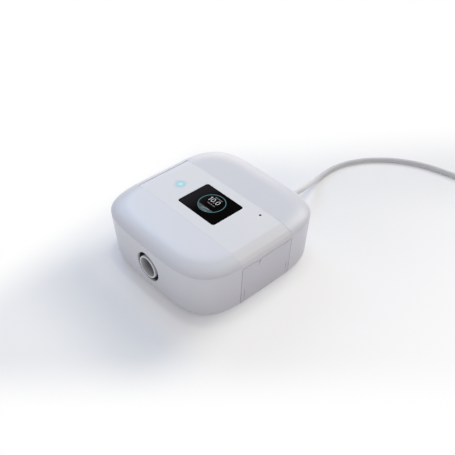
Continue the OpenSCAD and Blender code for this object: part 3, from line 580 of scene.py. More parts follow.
# Painted light: the lead is lighter close to the case.
graded(cord_jacket, "Y", 170, 118, (0.74, 0.745, 0.775))
black_glass = moulded("black_glass", (0.0015, 0.0012, 0.0012), 0.08, uneven=0.3, grain=300, depth=0.0004,
                      specular=0.02)
# Painted reflection: the display cover is lighter towards -X.
graded(black_glass, "X", 2, -22, (0.017, 0.0155, 0.019))

soft_rubber = moulded("soft_rubber", (0.045, 0.045, 0.05), 0.75, uneven=0.2, grain=1800, depth=0.03,
                      dusty=0.25)
silicone = moulded("silicone", (0.30, 0.31, 0.33), 0.55, uneven=0.1)
inner_plastic = moulded("inner_plastic", (0.33, 0.35, 0.38), 0.5, uneven=0.1, depth=0.03)
impeller_plastic = moulded("impeller_plastic", (0.66, 0.69, 0.73), 0.35)
relief_plastic = moulded("relief_plastic", (0.72, 0.73, 0.76), 0.42, uneven=0.06, depth=0.03)
plug_plastic = moulded("plug_plastic", (0.56, 0.57, 0.60), 0.46, uneven=0.06, depth=0.03)
chip_black = moulded("chip_black", (0.02, 0.02, 0.022), 0.5, uneven=0.3, depth=0.02)
cap_blue = moulded("cap_blue", (0.02, 0.045, 0.15), 0.3, uneven=0.1)
wire_red = moulded("wire_red", (0.42, 0.03, 0.02), 0.4)
wire_brown = moulded("wire_brown", (0.17, 0.07, 0.02), 0.4)
sheet_cream = moulded("sheet_cream", (0.72, 0.68, 0.52), 0.7, uneven=0.15)
ceramic = moulded("ceramic", (0.70, 0.69, 0.65), 0.5)
frame_plastic = moulded("frame_plastic", (0.22, 0.30, 0.42), 0.45)
steel = brushed("steel", (0.62, 0.63, 0.65))
aluminium = brushed("aluminium", (0.70, 0.71, 0.73), 0.35, "Z")
brass = brushed("brass", (0.72, 0.60, 0.32), 0.25, "Y")
foam = porous("foam", (0.10, 0.10, 0.11), 900)
filter_blue = porous("filter_blue", (0.16, 0.22, 0.32), 700)
filter_white = porous("filter_white", (0.85, 0.85, 0.82), 2600, 0.15)
board_green = circuit("board_green", (0.02, 0.12, 0.06), (0.05, 0.22, 0.11))
board_tan = circuit("board_tan", (0.40, 0.28, 0.12), (0.30, 0.20, 0.08))
copper_winding = wound("copper_winding", (0.72, 0.34, 0.14))
ribbon_film = wound("ribbon_film", (0.62, 0.42, 0.16), 1000)
display_cyan = lit("display_cyan", (0.045, 0.185, 0.205))
display_mark = lit("display_mark", (0.11, 0.26, 0.29))
display_dim = lit("display_dim", (0.13, 0.14, 0.145))
display_white = lit("display_white", (0.52, 0.54, 0.54))
display_grey = lit("display_grey", (0.045, 0.040, 0.042))
button_light = lit("button_light", (0.01, 0.02, 0.025), (0.47, 0.74, 0.82))
button_symbol = lit("button_symbol", (0.09, 0.14, 0.17), (0.51, 0.77, 0.84))


def glowing_cap():
    """The button's cap: its white plastic lets the light under it through round the middle."""
    material, tree, shader = start("glowing_cap")
    reach = 7
    white, soil = (0.775, 0.793, 0.850), (0.5, 0.5, 0.5)
    hands = place(tree, handling, Color=white, Soil=soil, Amount=0.03, Roughness=0.4)
    feed(shader, "Roughness", hands.outputs["Roughness"])
    move = tree.nodes.new("ShaderNodeMapping")
    dial(move, {"Location": (-BUTTON[0] * MM, -BUTTON[1] * MM, 0), "Scale": (1, 1, 0)})
    feed(move, "Vector", object_coords(tree))
    away = tree.nodes.new("ShaderNodeVectorMath")
    away.operation = "LENGTH"
    feed(away, 0, move.outputs[0])
    share = calc(tree, "MULTIPLY", away.outputs["Value"], 1 / (reach * MM))

    def rings(stops):
        """Colours by their distance from the middle, in millimetres."""
        ramp = tree.nodes.new("ShaderNodeValToRGB")
        ramp.color_ramp.interpolation = "EASE"
        while len(ramp.color_ramp.elements) < len(stops):
            ramp.color_ramp.elements.new(0.5)
        for element, (radius, color) in zip(ramp.color_ramp.elements, stops):
            element.position, element.color = radius / reach, (*color, 1)
        feed(ramp, 0, share)
        return ramp.outputs["Color"]

    skin = rings([(1.7, (0.51, 0.77, 0.84)), (2.3, (0.47, 0.73, 0.81)), (4.1, (0.50, 0.755, 0.83)),
                  (5.2, (0.61, 0.765, 0.845)), (6.5, (0.765, 0.79, 0.85))])
    feed(shader, "Base Color", blended(tree, 0.04, skin, hands.outputs["Color"]))
    glow = rings([(1.6, (0.09, 0.15, 0.18)), (2.2, (0, 0.01, 0.015)), (4.8, (0, 0.01, 0.012)),
                  (6.4, (0, 0, 0))])
    feed(shader, "Emission Color", glow)
    dial(shader, {"Emission Strength": 1.0})
    return material


button_glow = glowing_cap()

# ---------------------------------- mains lead

CORD_D = 5.5
CORD_R = CORD_D / 2
COIL_AT = (180.0, 236.0)
COIL_PITCH = CORD_D + 0.5
COIL_MIN_R = 21.5
TURNS_IN, TURNS_OUT = 3.75, 3.5
POINTS_PER_TURN = 48
COIL_BASE_Z = CORD_R + 1
COIL_START = np.array([COIL_AT[0], COIL_AT[1] + COIL_MIN_R + COIL_PITCH * TURNS_IN, COIL_BASE_Z])
CONNECTOR_END = 90
RELIEF_LENGTH = 22
PLUG_Z, PLUG_LENGTH, BLADE_X = 8.6, 30, 6.35


def coil_point(t):
    """A point of the coil after t turns: in to its middle, over a short step up, and out again on top."""
    a = math.radians(90 - 360 * t)
    r = COIL_MIN_R + COIL_PITCH * abs(TURNS_IN - t)
    s = min(max((t - TURNS_IN + 0.25) / 0.5, 0), 1)
    climb = COIL_PITCH * s * s * (3 - 2 * s)
    return np.array([COIL_AT[0] + r * math.cos(a), COIL_AT[1] + r * math.sin(a), COIL_BASE_Z + climb])


COIL_END = coil_point(TURNS_IN + TURNS_OUT)
RELIEF_Y = (COIL_END[1] - 60, COIL_END[1] - 38)
PLUG_FRONT = RELIEF_Y[0] - PLUG_LENGTH
RUN_ROUTE = [
    (6, 112, 16), (6, 118, 16), (4.4, 126, 14.8), (1, 137, 11.2), (-2.6, 148, 7), (-6, 159, 4),
    (-7.8, 170, 2.75), (-8, 181, 2.75), (-6.6, 192, 2.75), (-3.6, 203, 2.75), (1, 213, 2.75),
    (7, 223, 2.75), (14.4, 232, 2.75), (23, 241, 2.75), (33, 249, 2.75), (44, 256, 2.75),
    (56, 261.6, 2.75), (69, 265.6, 2.75), (82, 268.6, 2.75), (95, 271.2, 2.75), (108, 273.6, 2.75),
    (121, 275.8, 2.75), (134, 277.6, 2.9), (147, 279, 3.3), tuple(COIL_START - (20, 0, 0)),
]
TAIL_ROUTE = [
    tuple(COIL_END - (0, 8, 0)), tuple(COIL_END - (0, 15, 0)), (COIL_END[0], COIL_END[1] - 23, 9.2),
    (COIL_END[0], COIL_END[1] - 31, PLUG_Z), (COIL_END[0], RELIEF_Y[1], PLUG_Z),
]


def eased(points, step=4):
    """A smooth line through points, by cubic pieces."""
    p = np.array(points, float)
    ends = np.vstack([2 * p[0] - p[1], p, 2 * p[-1] - p[-2]])
    out = []
    for i in range(len(p) - 1):
        a, b, c, d = ends[i:i + 4]
        square, cube = 2 * a - 5 * b + 4 * c - d, 3 * b - a - 3 * c + d
        out += [0.5 * (2 * b + (c - a) * t + square * t ** 2 + cube * t ** 3) for t in np.arange(step) / step]
    out.append(p[-1])
    return np.array(out)


coil_steps = int((TURNS_IN + TURNS_OUT) * POINTS_PER_TURN)
coil_line = [coil_point(i / POINTS_PER_TURN) for i in range(coil_steps + 1)]
run_line, tail_line = eased(RUN_ROUTE + [tuple(COIL_START)])[:-1], eased([tuple(COIL_END)] + TAIL_ROUTE)[1:]
lead_line = np.vstack([run_line, coil_line, tail_line])
lead = shade(swept("mains_lead", lead_line, CORD_R, 16), 60, weighted=False)
hand_over(lead, cord_jacket, "case", ["cord_run", "cord_coil", "cord_tail"])


def relief_profile(thick, thin, grooved=1.0, smooth_end=None):
    """A tapered strain relief with flexing grooves, as (radius, along).

    grooved is the share of the length that has grooves. The rest, if any, thins out from smooth_end.
    """
    far = thin if smooth_end is None else smooth_end
    points = [(0, 0), (thick, 0)]
    for k in range(round(6 * grooved)):
        start_at, end_at = (k + 0.5) / 6.3, (k + 0.85) / 6.3
        r_a, r_b = (thick + (far - thick) * min(s / grooved, 1) for s in (start_at, end_at))
        a, b = start_at * RELIEF_LENGTH, end_at * RELIEF_LENGTH
        points += [(r_a, a), (r_a - 0.5, a + 0.3), (r_b - 0.5, b - 0.3), (r_b, b)]
    if grooved < 1:
        points.append((far, grooved * RELIEF_LENGTH + 0.6))
    points += [(thin, RELIEF_LENGTH), (0, RELIEF_LENGTH)]
    return soften(points, 0.18, 2, closed=False)


lead_relief = shade(lying("lead_relief", relief_profile(4.2, CORD_R + 0.06, 0.5, CORD_R + 0.45), INLET, 48,
                          start=CONNECTOR_END))
hand_over(lead_relief, relief_plastic, "case", ["cord_strain_relief"])
plug_relief = shade(lying("plug_relief", relief_profile(4.6, CORD_R + 0.4), (COIL_END[0], PLUG_Z), 48,
                          start=RELIEF_Y[0]))
hand_over(plug_relief, plug_plastic, "case", ["plug_strain_relief"])


def figure_eight(r):
    """The outline of a two-pin connector: two half circles, joined."""
    half_turn = np.linspace(-math.pi / 2, math.pi / 2, 17)
    pts = [(3.2 + r * math.cos(t), r * math.sin(t)) for t in half_turn]
    return pts + [(-3.2 - r * math.cos(t), r * math.sin(t)) for t in half_turn[::-1]]


def at_inlet(a, b, t):
    return (INLET[0] + a, t, INLET[1] + b)


connector_steps = [(3.6, 64.4), (3.9, 64.9), (3.9, 73.8), (4.9, 73.8), (5.2, 74.2), (5.2, 85.4), (5.0, 86.2),
                   (4.5, 88.4), (4.2, 89.7), (3.9, CONNECTOR_END)]
connector = stacked("lead_connector", [(figure_eight(r), y) for r, y in connector_steps], at_inlet)
for x in (-INLET_PIN_X, INLET_PIN_X):
    combine(connector, lying("pin_hole", rod(1.3, 64, 72), (INLET[0] + x, INLET[1]), 24))
hand_over(shade(connector), plug_plastic, "case", ["cord_connector"])


def at_plug(a, b, t):
    return (COIL_END[0] + a, PLUG_FRONT + t, PLUG_Z + b)


# The plug's outlines, as (width, height, corner radius, distance from its front)
plug_steps = [(24, 16.2, 3.6, 0), (25, 17.2, 4, 0.5), (25, 17.2, 4, 2.6), (24.2, 16.4, 4, 3),
              (21.4, 14.8, 4, 3.4), (21, 14.4, 4, 12), (20, 13.6, 4, 15), (22, 15.2, 4, 20),
              (21.6, 14.8, 4, 23), (17, 13, 4, 26.6), (12, 10.6, 4, 29.2), (10, 9.4, 4, PLUG_LENGTH)]
wall_plug = stacked("plug_body", [(rounded_box_outline(w, h, r), y) for w, h, r, y in plug_steps], at_plug)
for x in (-BLADE_X, BLADE_X):
    slot_y = (PLUG_FRONT - 1, PLUG_FRONT + 6)
    combine(wall_plug, box("blade_slot", around(COIL_END[0] + x, 0.75), slot_y, around(PLUG_Z, 3.2)))
hand_over(shade(wall_plug), plug_plastic, "case", ["wall_plug"])

# Hook-and-loop strap round the coil
STRAP_TURN, STRAP_HALF, STRAP_T = math.radians(315), 5, 0.8
strap_in, strap_out = COIL_MIN_R - CORD_R + 0.9, COIL_MIN_R + COIL_PITCH * TURNS_IN + CORD_R - 1.5
strap_top = COIL_BASE_Z + COIL_PITCH + CORD_R + 0.3


def at_strap(a, b, t):
    c, s = math.cos(STRAP_TURN), math.sin(STRAP_TURN)
    return (COIL_AT[0] + a * c + t * s, COIL_AT[1] + a * s - t * c, b)


def strap_outline(out, low, radii):
    left, right, top = strap_in - out, strap_out + out, strap_top + out
    return soften([(left, low), (right, low), (right, top), (left, top)], radii, 5)


strap_outside = strap_outline(STRAP_T, 0, [1, 2.2, 2.6, 1.6])
strap_inside = strap_outline(0, STRAP_T, [0.4, 1.6, 2, 1])
strap = extruded("lead_strap", strap_outside, at_strap, *around(0, STRAP_HALF))
combine(strap, extruded("strap_hole", strap_inside, at_strap, *around(0, STRAP_HALF + 1)))
strap = shade(round_edges(strap, 0.2))
hand_over(strap, soft_rubber, "case", ["cord_tie"])

# ---------------------------------- case shells


def bottom_edge(inset=0.0, steps=10):
    """The rounded bottom edge, as (height, half width)."""
    rise, run = EDGE_RISE - inset, EDGE_RUN - inset
    return [(FOOT_H + inset + rise * (1 - math.cos(t)), FLAT_HALF + run * math.sin(t))
            for t in np.linspace(0, math.pi / 2, steps + 1)]


def dome(base_half=HALF, base_z=PART_Z, top_z=CASE_H, run=DOME_RUN, steps=18):
    """The rounded top edge, from the parting line to the flat top."""
    s = math.sin(DOME_START)
    wide, tall = run / math.cos(DOME_START), (top_z - base_z) / (1 - s)
    return [(base_z + tall * (math.sin(t) - s), base_half - wide * (math.cos(DOME_START) - math.cos(t)))
            for t in np.linspace(DOME_START, math.pi / 2, steps + 1)]


def lower_case():
    outer = bottom_edge() + [SIDE, (PART_Z - PARTING, HALF - 0.01)]
    inner = [(PART_Z - PARTING, INNER_HALF), (FOOT_H + EDGE_RISE, INNER_HALF - TAPER)]
    inner += bottom_edge(WALL, 6)[::-1][1:]
    case = lofted("lower_case", [(FOOT_H, FLAT_HALF * 0.5)] + outer + inner + [(FLOOR_Z, FLAT_HALF * 0.5)])
    panel_y = (-PANEL_FRONT, PANEL_BACK)
    combine(case, box("door_opening", (HALF - 8, HALF + 3), panel_y, (HINGE_Z - 2.6, PART_Z + 3)))
    combine(case, box("far_lip_notch", (-HALF - 3, -HALF + 4), panel_y, (LIP_Z, PART_Z + 3)))
    chamfer, ledge, seat_r = (RECESS_R + 1.6, -74.9), -71.4, CUP_IN + 0.2
    recess = [(0, -80), (chamfer[0], -80), chamfer, (RECESS_R, -73.3), (RECESS_R, ledge), (seat_r, ledge),
              (seat_r, -60), (0, -60)]
    combine(case, lying("outlet_hole", recess, OUTLET, 128))
    combine(case, box("inlet_hole", around(INLET[0], 9.8), (HALF - 8, HALF + 3), around(INLET[1], 6.8)))
    slots = [box("slot", (BEZEL_X, 64), (-27 + k * 5, -24.6 + k * 5), (-1, FLOOR_Z + 1)) for k in range(8)]
    combine(case, join("slots", slots))
    combine(case, join("wells", [upright("well", rod(3.1, -1, 14), spot, 32) for spot in SCREW_SPOTS]))
    combine(case, join("seats", [upright("seat", rod(6, -1, 1.6), spot, 48) for spot in FOOT_SPOTS]))
    return case


def upper_shell():
    inside = dome(INNER_HALF, PART_Z, CEILING_Z, DOME_RUN - 2, 8)
    outside = [(PART_Z + PARTING, HALF)] + dome()[1:] + [(CASE_H, 20)]
    shell = lofted("upper_shell", [(CEILING_Z, 20)] + inside[::-1] + outside)
    combine(shell, panel_slab("channel", -PANEL_FRONT, PANEL_BACK, 8, -PANEL_T))
    openings = [box("glass_opening", around(GLASS["x"], 23), around(GLASS["y"], 17), (50, 60)),
                upright("button_opening", rod(8.1, 50, 60), BUTTON, 48),
                upright("sensor_opening", rod(2.1, 50, 60), SENSOR, 32)]
    combine(shell, join("openings", openings))
    return shell


def panel_line(lower):
    """One side of the panel's end profile, lowered by some millimetres, in X and Z."""
    d = lower
    points = [(CREASE_X - 8, CASE_H - d), (CREASE_X, CASE_H - 0.42 - d), (66 - 0.3 * d, 56.5 - 0.95 * d),
              (70.5 - 0.43 * d, 54.9 - 0.9 * d), (73.6 - 0.6 * d, 52.8 - 0.8 * d), (75.2 - d, 50.2 - 0.5 * d),
              (75.9 - d, 48.9), (75.9 - d, LIP_Z - 4)]
    return soften(points, [0, 0.5, 7, 7, 3, 1.5, 0.6, 0], 5, closed=False)


def panel_slab(name, y_from, y_to, above, depth):
    """The slab between the panel's outside, raised by above, and its underside at depth."""
    over, under = panel_line(-above), panel_line(-depth)
    outline = over + under[::-1] + [(-x, z) for x, z in under] + [(-x, z) for x, z in over[::-1]]
    return extruded(name, outline, along_y, y_from, y_to)


def on_glass(a, b, t):
    return (GLASS["x"] + a, GLASS["y"] + b, t)


def top_panel():
    panel = panel_slab("top_panel", -PANEL_FRONT + SEAM, PANEL_BACK - SEAM, 0, -PANEL_T)
    rings = [(FOOT_H, 20)] + bottom_edge() + [(PART_Z, HALF)] + dome()[1:] + [(CASE_H + 0.001, 20)]
    combine(panel, lofted("whole", rings), "INTERSECT")
    combine(panel, box("lip_cut", (-90, 90), (-90, 90), (30, LIP_Z)))
    combine(panel, box("end_groove", (-67.1, -65.5), (-PANEL_FRONT - 1, PANEL_BACK + 1), (54.6, 60)))
    pocket_outline = rounded_box_outline(GLASS["w"] + 2 * SEAM, GLASS["d"] + 2 * SEAM, 2.6)
    combine(panel, extruded("pocket", pocket_outline, on_glass, CASE_H - GLASS["t"], CASE_H + 2))
    combine(panel, box("window", around(GLASS["x"], 22.4), around(GLASS["y"], 16.4), (54, 57)))
    combine(panel, upright("button_hole", rod(6.58, 54, 60), BUTTON, 96))
    combine(panel, upright("sensor_hole", rod(1.15, 54, 60), SENSOR, 32))
    return panel


def hinge_rod(name, radius, ends, steps):
    profile = soften(rod(radius, *ends), [0, 0.3, 0.3, 0], 3, closed=False)
    return lying(name, profile, (HINGE_X, HINGE_Z), steps)


def side_door():
    ends = (-PANEL_FRONT + DOOR_GAP, PANEL_BACK - DOOR_GAP)
    rings = [(FOOT_H, FLAT_HALF * 0.5)] + bottom_edge() + [SIDE, (PART_Z, HALF)]
    inside = [(PART_Z, HALF - DOOR_T), (FOOT_H + EDGE_RISE, HALF - TAPER - DOOR_T), (FOOT_H + 2, HALF - 7),
              (0.5, HALF - 12)]
    door = lofted("side_door", rings + inside)
    combine(door, box("door_block", (HALF - 8, HALF + 1), ends, (HINGE_Z, DOOR_TOP)), "INTERSECT")
    face_x, top = HALF + 1, DOOR_TOP + 1
    corners = [(face_x, NOTCH_Y - 7.6, top), (face_x, NOTCH_Y + 1.1, top), (73.24, NOTCH_Y, top),
               (face_x, NOTCH_Y - 5.5, top - 21.2)]
    combine(door, facing_out(new_piece("notch", corners, [[0, 1, 2], [0, 1, 3], [1, 2, 3], [0, 2, 3]])))
    slit_x, slit_z = (HALF - 9, HALF + 2), (HINGE_Z - 1, HINGE_Z + 15)
    slits = [box("slit", slit_x, around(y, 0.2), slit_z) for y in (-26.4, 24.2)]
    combine(door, join("slits", slits))
    round_edges(door, 0.12)
    barrel = hinge_rod("barrel", 2.1, ends, 40)
    pins = hinge_rod("pins", 1.2, (ends[0] - 3.6, ends[1] + 3.6), 32)
    tab = box("tab", (HALF - 4.6, HALF - 2.4), around(NOTCH_Y, 5), (DOOR_TOP - 8, DOOR_TOP - 2))
    return join("side_door", [door, barrel, pins, round_edges(tab, 0.4, 3)])


hand_over(shade(round_edges(lower_case(), 0.3)), case_white, "case", ["bottom_case"])
hand_over(shade(round_edges(upper_shell(), 0.12)), shell_white, "case", ["upper_shell"])
hand_over(shade(round_edges(top_panel(), 0.1)), panel_white, "case", ["top_panel"])
hand_over(shade(side_door()), shaded_door_white, "door", ["side_door"])

# ---------------------------------- display, button, sensor

glass_outline = rounded_box_outline(GLASS["w"], GLASS["d"], 2.4, 10)


def drawn_in(k):
    """The glass's outline, smaller by k all round."""
    return [(a * (1 - k / 24), b * (1 - k / 18)) for a, b in glass_outline]


glass_steps = [(glass_outline, CASE_H - GLASS["t"]), (glass_outline, CASE_H - 0.35),
               (drawn_in(0.08), CASE_H - 0.12), (drawn_in(0.3), CASE_H)]
hand_over(shade(stacked("display_cover", glass_steps, on_glass), 60), black_glass, "case", ["display_glass"])

UI = (1.2, 0.8)
UI_Z = (CASE_H - 0.02, CASE_H + 0.04)
SEGMENT_Z = (CASE_H - 0.02, CASE_H + 0.02)
BUTTON_MARK_Z = (CASE_H - 0.02, CASE_H + 0.03)


def flat_mark(name, outline, z=UI_Z):
    return extruded(name, outline, on_top, *z)


def stroke(name, points, width, z=UI_Z):
    """A ribbon of constant width along a line on the display."""
    p = np.array(points, float)
    d = np.gradient(p, axis=0)
    d /= np.linalg.norm(d, axis=1)[:, None]
    side = np.stack([-d[:, 1], d[:, 0]], 1) * width / 2
    return flat_mark(name, [tuple(q) for q in (p + side)] + [tuple(q) for q in (p - side)[::-1]], z)


def arc(cx, cy, rx, ry, a, b, n):
    turns = np.linspace(math.radians(a), math.radians(b), n)
    return [(cx + rx * math.cos(t), cy + ry * math.sin(t)) for t in turns]


def loop(name, middle, rx, ry, width, n=72):
    """A closed ribbon round an ellipse on the display."""
    outer = arc(*middle, rx + width / 2, ry + width / 2, 0, 360, n + 1)[:-1]
    inner = arc(*middle, rx - width / 2, ry - width / 2, 0, 360, n + 1)[:-1]
    verts = [(a, b, t) for t in UI_Z for a, b in outer + inner]
    faces = []
    for i in range(n):
        j = (i + 1) % n
        faces += [[i, j, n + j, n + i], [2 * n + i, 3 * n + i, 3 * n + j, 2 * n + j],
                  [i, 2 * n + i, 2 * n + j, j], [n + i, n + j, 3 * n + j, 3 * n + i]]
    return facing_out(new_piece(name, verts, faces))


RING_R, RING_W, SEGMENT_R, CHORD_DROP = 12.6, 0.68, 12.0, 7.3
hand_over(loop("display_ring", UI, RING_R, RING_R, RING_W, 120), display_cyan, "case", ())
chord = math.degrees(math.asin(CHORD_DROP / SEGMENT_R))
segment_outline = arc(*UI, SEGMENT_R, SEGMENT_R, 180 + chord, 360 - chord, 48)
hand_over(flat_mark("display_segment", segment_outline, SEGMENT_Z), display_grey, "case", ())

one = [(-5.2, 2.0), (-4.5, 2.0), (-4.5, 7.7), (-5.1, 7.7), (-6.4, 6.6), (-6.1, 6.1), (-5.2, 6.7)]
point = arc(1.7, 2.5, 0.42, 0.42, 0, 345, 20)
digits = [flat_mark("one", one), loop("zero_a", (-1.35, 4.85), 1.5, 2.45, 0.62), flat_mark("point", point),
          loop("zero_b", (4.75, 4.85), 1.5, 2.45, 0.62)]
hand_over(join("display_number", digits), display_white, "case", ())
bar_rows = ((9.3, ((-3.2, -0.2), (0.3, 2.6), (3.1, 5.8))), (-0.6, ((-3.0, 0.4), (0.9, 3.2), (3.7, 6.4))))
bars = [stroke("bar", [(x0, y), (x1, y)], 0.85) for y, spans in bar_rows for x0, x1 in spans]
hand_over(join("display_bars", bars), display_dim, "case", ())
ramp_mark = [stroke("rise", [(-1.9, -8.8), (-0.2, -8.6), (1.6, -8.0), (3.2, -7.3), (5.9, -7.1)], 0.8),
             stroke("base", [(-2.2, -10.3), (6.4, -10.3)], 0.45)]
hand_over(join("display_ramp_mark", ramp_mark), display_mark, "case", ())

CAP_R, RIM_R, GROOVE_IN, GROOVE_OUT, GROOVE_Z = 6.5, 7.4, 4.15, 4.75, 57.4
cap_profile = [(0, 54.5), (RIM_R, 54.5), (RIM_R, 55.5), (CAP_R, 55.5), (CAP_R, CASE_H), (GROOVE_OUT, CASE_H),
               (GROOVE_OUT, GROOVE_Z), (GROOVE_IN, GROOVE_Z), (GROOVE_IN, CASE_H), (0, CASE_H)]
cap_profile = soften(cap_profile, [0, 0.1, 0.1, 0.1, 0.12, 0.05, 0.05, 0.05, 0.05, 0], 3, closed=False)
hand_over(shade(upright("button_cap", cap_profile, BUTTON, 96)), button_glow, "button", ["power_button"])
ring_profile = soften(sleeve(GROOVE_IN, GROOVE_OUT, GROOVE_Z, CASE_H + 0.03), 0.08, 2)
ring = upright("button_ring", ring_profile, BUTTON, 96, closed=True)
power_bar = [(BUTTON[0], BUTTON[1] + 0.5), (BUTTON[0], BUTTON[1] + 2.3)]
symbol = [stroke("power_arc", arc(*BUTTON, 1.7, 1.7, 125, 415, 40), 0.42, BUTTON_MARK_Z),
          stroke("power_bar", power_bar, 0.42, BUTTON_MARK_Z)]
hand_over(ring, button_light, "button", ["button_lens"])
hand_over(join("button_symbol", symbol), button_symbol, "button", ())

# ---------------------------------- air outlet

flange_y, tail_y = RECESS_FLOOR_Y + 2, RECESS_FLOOR_Y + 8
tube_profile = [(TUBE_IN, FRONT_Y), (TUBE_OUT - 0.1, FRONT_Y), (TUBE_OUT, RECESS_FLOOR_Y),
                (16.2, RECESS_FLOOR_Y), (16.2, flange_y), (10, flange_y), (10, tail_y), (TUBE_IN, tail_y)]
tube_profile = soften(tube_profile, [0.5, 0.7, 0.6, 0.2, 0.2, 0.2, 0.4, 0.2], 5)
outlet = lying("outlet_tube", tube_profile, OUTLET, 128, closed=True)
hand_over(shade(outlet), outlet_plastic, "case", ["outlet_tube"])

# Painted shade: a dark ring on the recess floor, where there is only shade; it stands for no CAD node.
shade_ring_y = RECESS_FLOOR_Y - 1.4
shade_ring_profile = soften(sleeve(TUBE_OUT + 0.15, 14.8, RECESS_FLOOR_Y, shade_ring_y), 0.4, 3)
shade_ring = lying("outlet_shade_ring", shade_ring_profile, OUTLET, 96, closed=True)
hand_over(shade(shade_ring), soft_rubber, "case", ())
# Painted shade: a dark sheet along the recess wall, where there is only shade; it stands for no CAD node.
shade_liner = lying("outlet_shade_liner", soften(sleeve(14.35, 14.95, -71.3, shade_ring_y), 0.15, 2), OUTLET, 128, closed=True)
hand_over(shade(shade_liner), soft_rubber, "case", ())
cup_profile = soften(sleeve(CUP_IN, CUP_OUT, -70.2, RECESS_FLOOR_Y), 0.2, 2)
cup = lying("outlet_cup", cup_profile, OUTLET, 128, closed=True)
hand_over(shade(cup), case_white, "case", ["outlet_cup"])

# ---------------------------------- wall beside the service bay, clear of the hinge pin

bay_outline = [(BEZEL_X, FLOOR_Z), (67.5, FLOOR_Z), (67.5, 11.5), (72.2, 11.5), (72.2, BEZEL_TOP),
               (BEZEL_X, BEZEL_TOP)]
bay_wall = extruded("bay_wall", bay_outline, along_y, PANEL_BACK + 0.05, PANEL_BACK + 0.85)
hand_over(bay_wall, case_white, "case", ())

# ---------------------------------- feet

foot_profile = [(0, 0), (5.2, 0), (5.8, 0.6), (5.8, 1.6), (0, 1.6)]
foot_profile = soften(foot_profile, [0, 0.3, 0.2, 0.1, 0], 3, closed=False)
feet = [upright("foot", foot_profile, spot, 64) for spot in FOOT_SPOTS]
hand_over(shade(join("feet", feet)), soft_rubber, "case", ["rubber_feet"])

# ---------------------------------- the CAD nodes that stay

kept = [
    (steel, ["case_screws", "display_module", "motor_rotor", "motor_bearings", "memory_card_socket",
             "usb_port", "board_screws"]),
    (board_green, ["ui_board", "main_board", "riser_board"]),
    (board_tan, ["power_supply_board"]),
    (chip_black, ["button_switch", "processor_chips", "alarm_buzzer", "memory_card", "transformer",
                  "mains_inlet"]),
    (black_glass, ["light_sensor_lens"]),
    (silicone, ["outlet_coupling", "blower_dampers", "pressure_tube"]),
    (inner_plastic, ["blower_base", "blower_lid", "intake_duct"]),
    (impeller_plastic, ["impeller"]),
    (copper_winding, ["motor_stator", "mains_filter_coil"]),
    (foam, ["duct_foam"]),
    (frame_plastic, ["filter_frame"]),
    (filter_blue, ["pollen_filter"]),
    (filter_white, ["fine_filter"]),
    (ceramic, ["pressure_sensor"]),
    (case_white, ["service_bezel"]),
    (ribbon_film, ["ribbon_cable"]),
    (wire_red, ["motor_wires"]),
    (wire_brown, ["inlet_wires"]),
    (cap_blue, ["bulk_capacitors"]),
    (aluminium, ["heat_sink"]),
    (sheet_cream, ["insulator_sheet"]),
    (brass, ["plug_blades"]),
]
for material, names in kept:
    for name in names:
        nodes[name].data.materials.clear()
        nodes[name].data.materials.append(material)

# ---------------------------------- floor, lamps, world


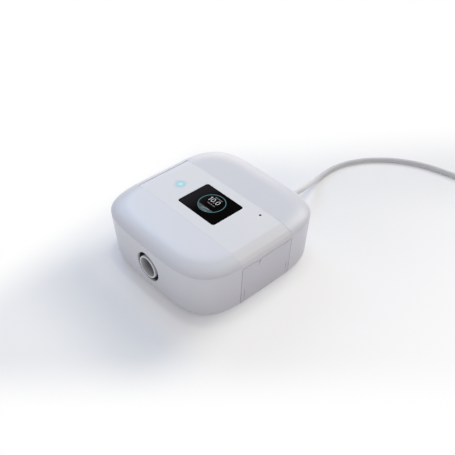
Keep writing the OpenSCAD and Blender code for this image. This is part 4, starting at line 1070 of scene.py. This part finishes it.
def floor_material():
    """Pale floor that keeps the object's shadow, with painted light and painted shade round the case, and
    turns to plain white away from it.
    """
    material, tree, shader = start("floor")
    coords = object_coords(tree)

    def along(direction):
        """Distance from the case's middle along a direction, in millimetres."""
        node = tree.nodes.new("ShaderNodeVectorMath")
        node.operation = "DOT_PRODUCT"
        node.inputs[1].default_value = direction
        feed(node, 0, coords)
        return times(node.outputs["Value"], 1000.0)

    def rise(value, low, high, to=1.0):
        """Climbs smoothly from 0 at low to its full share at high."""
        node = tree.nodes.new("ShaderNodeMapRange")
        node.interpolation_type = "SMOOTHSTEP"
        dial(node, {"From Min": low, "From Max": high, "To Max": to})
        feed(node, "Value", value)
        return node.outputs[0]

    def plus(*terms):
        return terms[0] if len(terms) == 1 else calc(tree, "ADD", terms[0], plus(*terms[1:]))

    def times(u, v):
        return calc(tree, "MULTIPLY", u, v)

    def minus(u, v):
        return calc(tree, "SUBTRACT", u, v)

    def less(v):
        return minus(1.0, v)

    def fourth(v):
        return times(times(v, v), times(v, v))

    across, away = along((0.6732, 0.7395, 0)), along((-0.7395, 0.6732, 0))
    clear = minus(calc(tree, "POWER", plus(fourth(along((1, 0, 0))), fourth(along((0, 1, 0)))), 0.25), HALF)
    lit_side = rise(minus(across, times(away, 0.5)), 10, 80)
    # Where the picture's plain white begins, behind the case and in front of it
    left_of = times(calc(tree, "MINIMUM", plus(across, 20.0), 0.0), 1.15)
    right_of = times(calc(tree, "MAXIMUM", across, 0.0), 0.12)
    far = rise(minus(away, plus(left_of, right_of)), 95, 195)
    near = rise(away, -122, -180)
    # How much white lies over the floor between them. This is painted light and painted shade: it lightens
    # the case's shadow by different amounts round the case and leaves less white close to the case on its lit
    # side.
    open_side = plus(0.14, times(less(rise(away, -60, 130)), 0.42),
                     times(less(rise(away, 40, 110)), rise(clear, 40, 170, 0.25)))
    open_side = times(open_side, plus(rise(clear, 0, 12, 0.22), 0.78))
    shaded_side = plus(0.14, rise(clear, 2, 8, 0.14), times(rise(clear, 15, 35), -0.12),
                       rise(clear, 55, 110, 0.22))
    share = plus(times(open_side, lit_side), times(shaded_side, less(lit_side)))
    white_share = less(times(times(less(far), less(near)), less(share)))
    # Painted shade: the floor is bluer on the case's shaded side.
    color = blended(tree, lit_side, (0.83, 0.86, 0.91), (0.86, 0.87, 0.90))
    feed(shader, "Base Color", color)
    dial(shader, {"Roughness": 0.9, "Specular IOR Level": 0.1})
    rays = tree.nodes.new("ShaderNodeLightPath").outputs
    seen = calc(tree, "MAXIMUM", rays["Is Camera Ray"], rays["Is Glossy Ray"])
    seen = calc(tree, "MAXIMUM", seen, rays["Is Transmission Ray"])
    white = tree.nodes.new("ShaderNodeEmission")
    mix = tree.nodes.new("ShaderNodeMixShader")
    feed(mix, 0, times(white_share, seen))
    feed(mix, 1, shader.outputs[0])
    feed(mix, 2, white.outputs[0])
    tree.links.new(mix.outputs[0], tree.nodes["Material Output"].inputs["Surface"])
    return material


REACH = 6000
floor = new_piece("floor", [(-REACH, -REACH, 0), (REACH, -REACH, 0), (REACH, REACH, 0), (-REACH, REACH, 0)],
                  [[0, 1, 2, 3]])
floor.data.materials.append(floor_material())


def lamp(name, turn, height, power, color):
    """A round lamp 1 m across and 2 m away that faces the case; turn and height are degrees."""
    light = bpy.data.lights.new(name, "AREA")
    light.shape, light.size, light.energy, light.color = "DISK", 1, power, color
    o = bpy.data.objects.new(name, light)
    scene.collection.objects.link(o)
    t, h = math.radians(turn), math.radians(height)
    direction = Vector((math.cos(t) * math.cos(h), math.sin(t) * math.cos(h), math.sin(h))).normalized()
    o.location = Vector((0, 0, 0.03)) + direction * 2
    o.rotation_mode = "QUATERNION"
    o.rotation_quaternion = direction.to_track_quat("Z", "Y")


lamp("rear", 90, 40, 12, (1.0, 0.968, 0.833))
lamp("rear_high", 90, 66, 3.9, (0.88, 1.0, 0.76))
lamp("rear_left_low", 135, 14, 4.8, (1.0, 0.86, 0.69))
lamp("left", 168, 42, 8.4, (0.33, 0.62, 1.0))
lamp("front_low", 270, 14, 2.9, (0.91, 1.0, 0.76))

# Light of the surroundings; the camera sees plain white instead
world = bpy.data.worlds.new("world")
scene.world = world
world.use_nodes = True
tree = world.node_tree
air = tree.nodes["Background"]
dial(air, {"Color": (1.0, 0.925, 0.945, 1), "Strength": 0.519})
plain = tree.nodes.new("ShaderNodeBackground")
dial(plain, {"Color": (1, 1, 1, 1)})
path = tree.nodes.new("ShaderNodeLightPath")
mix = tree.nodes.new("ShaderNodeMixShader")
feed(mix, 0, path.outputs["Is Camera Ray"])
feed(mix, 1, air.outputs[0])
feed(mix, 2, plain.outputs[0])
tree.links.new(mix.outputs[0], tree.nodes["World Output"].inputs["Surface"])
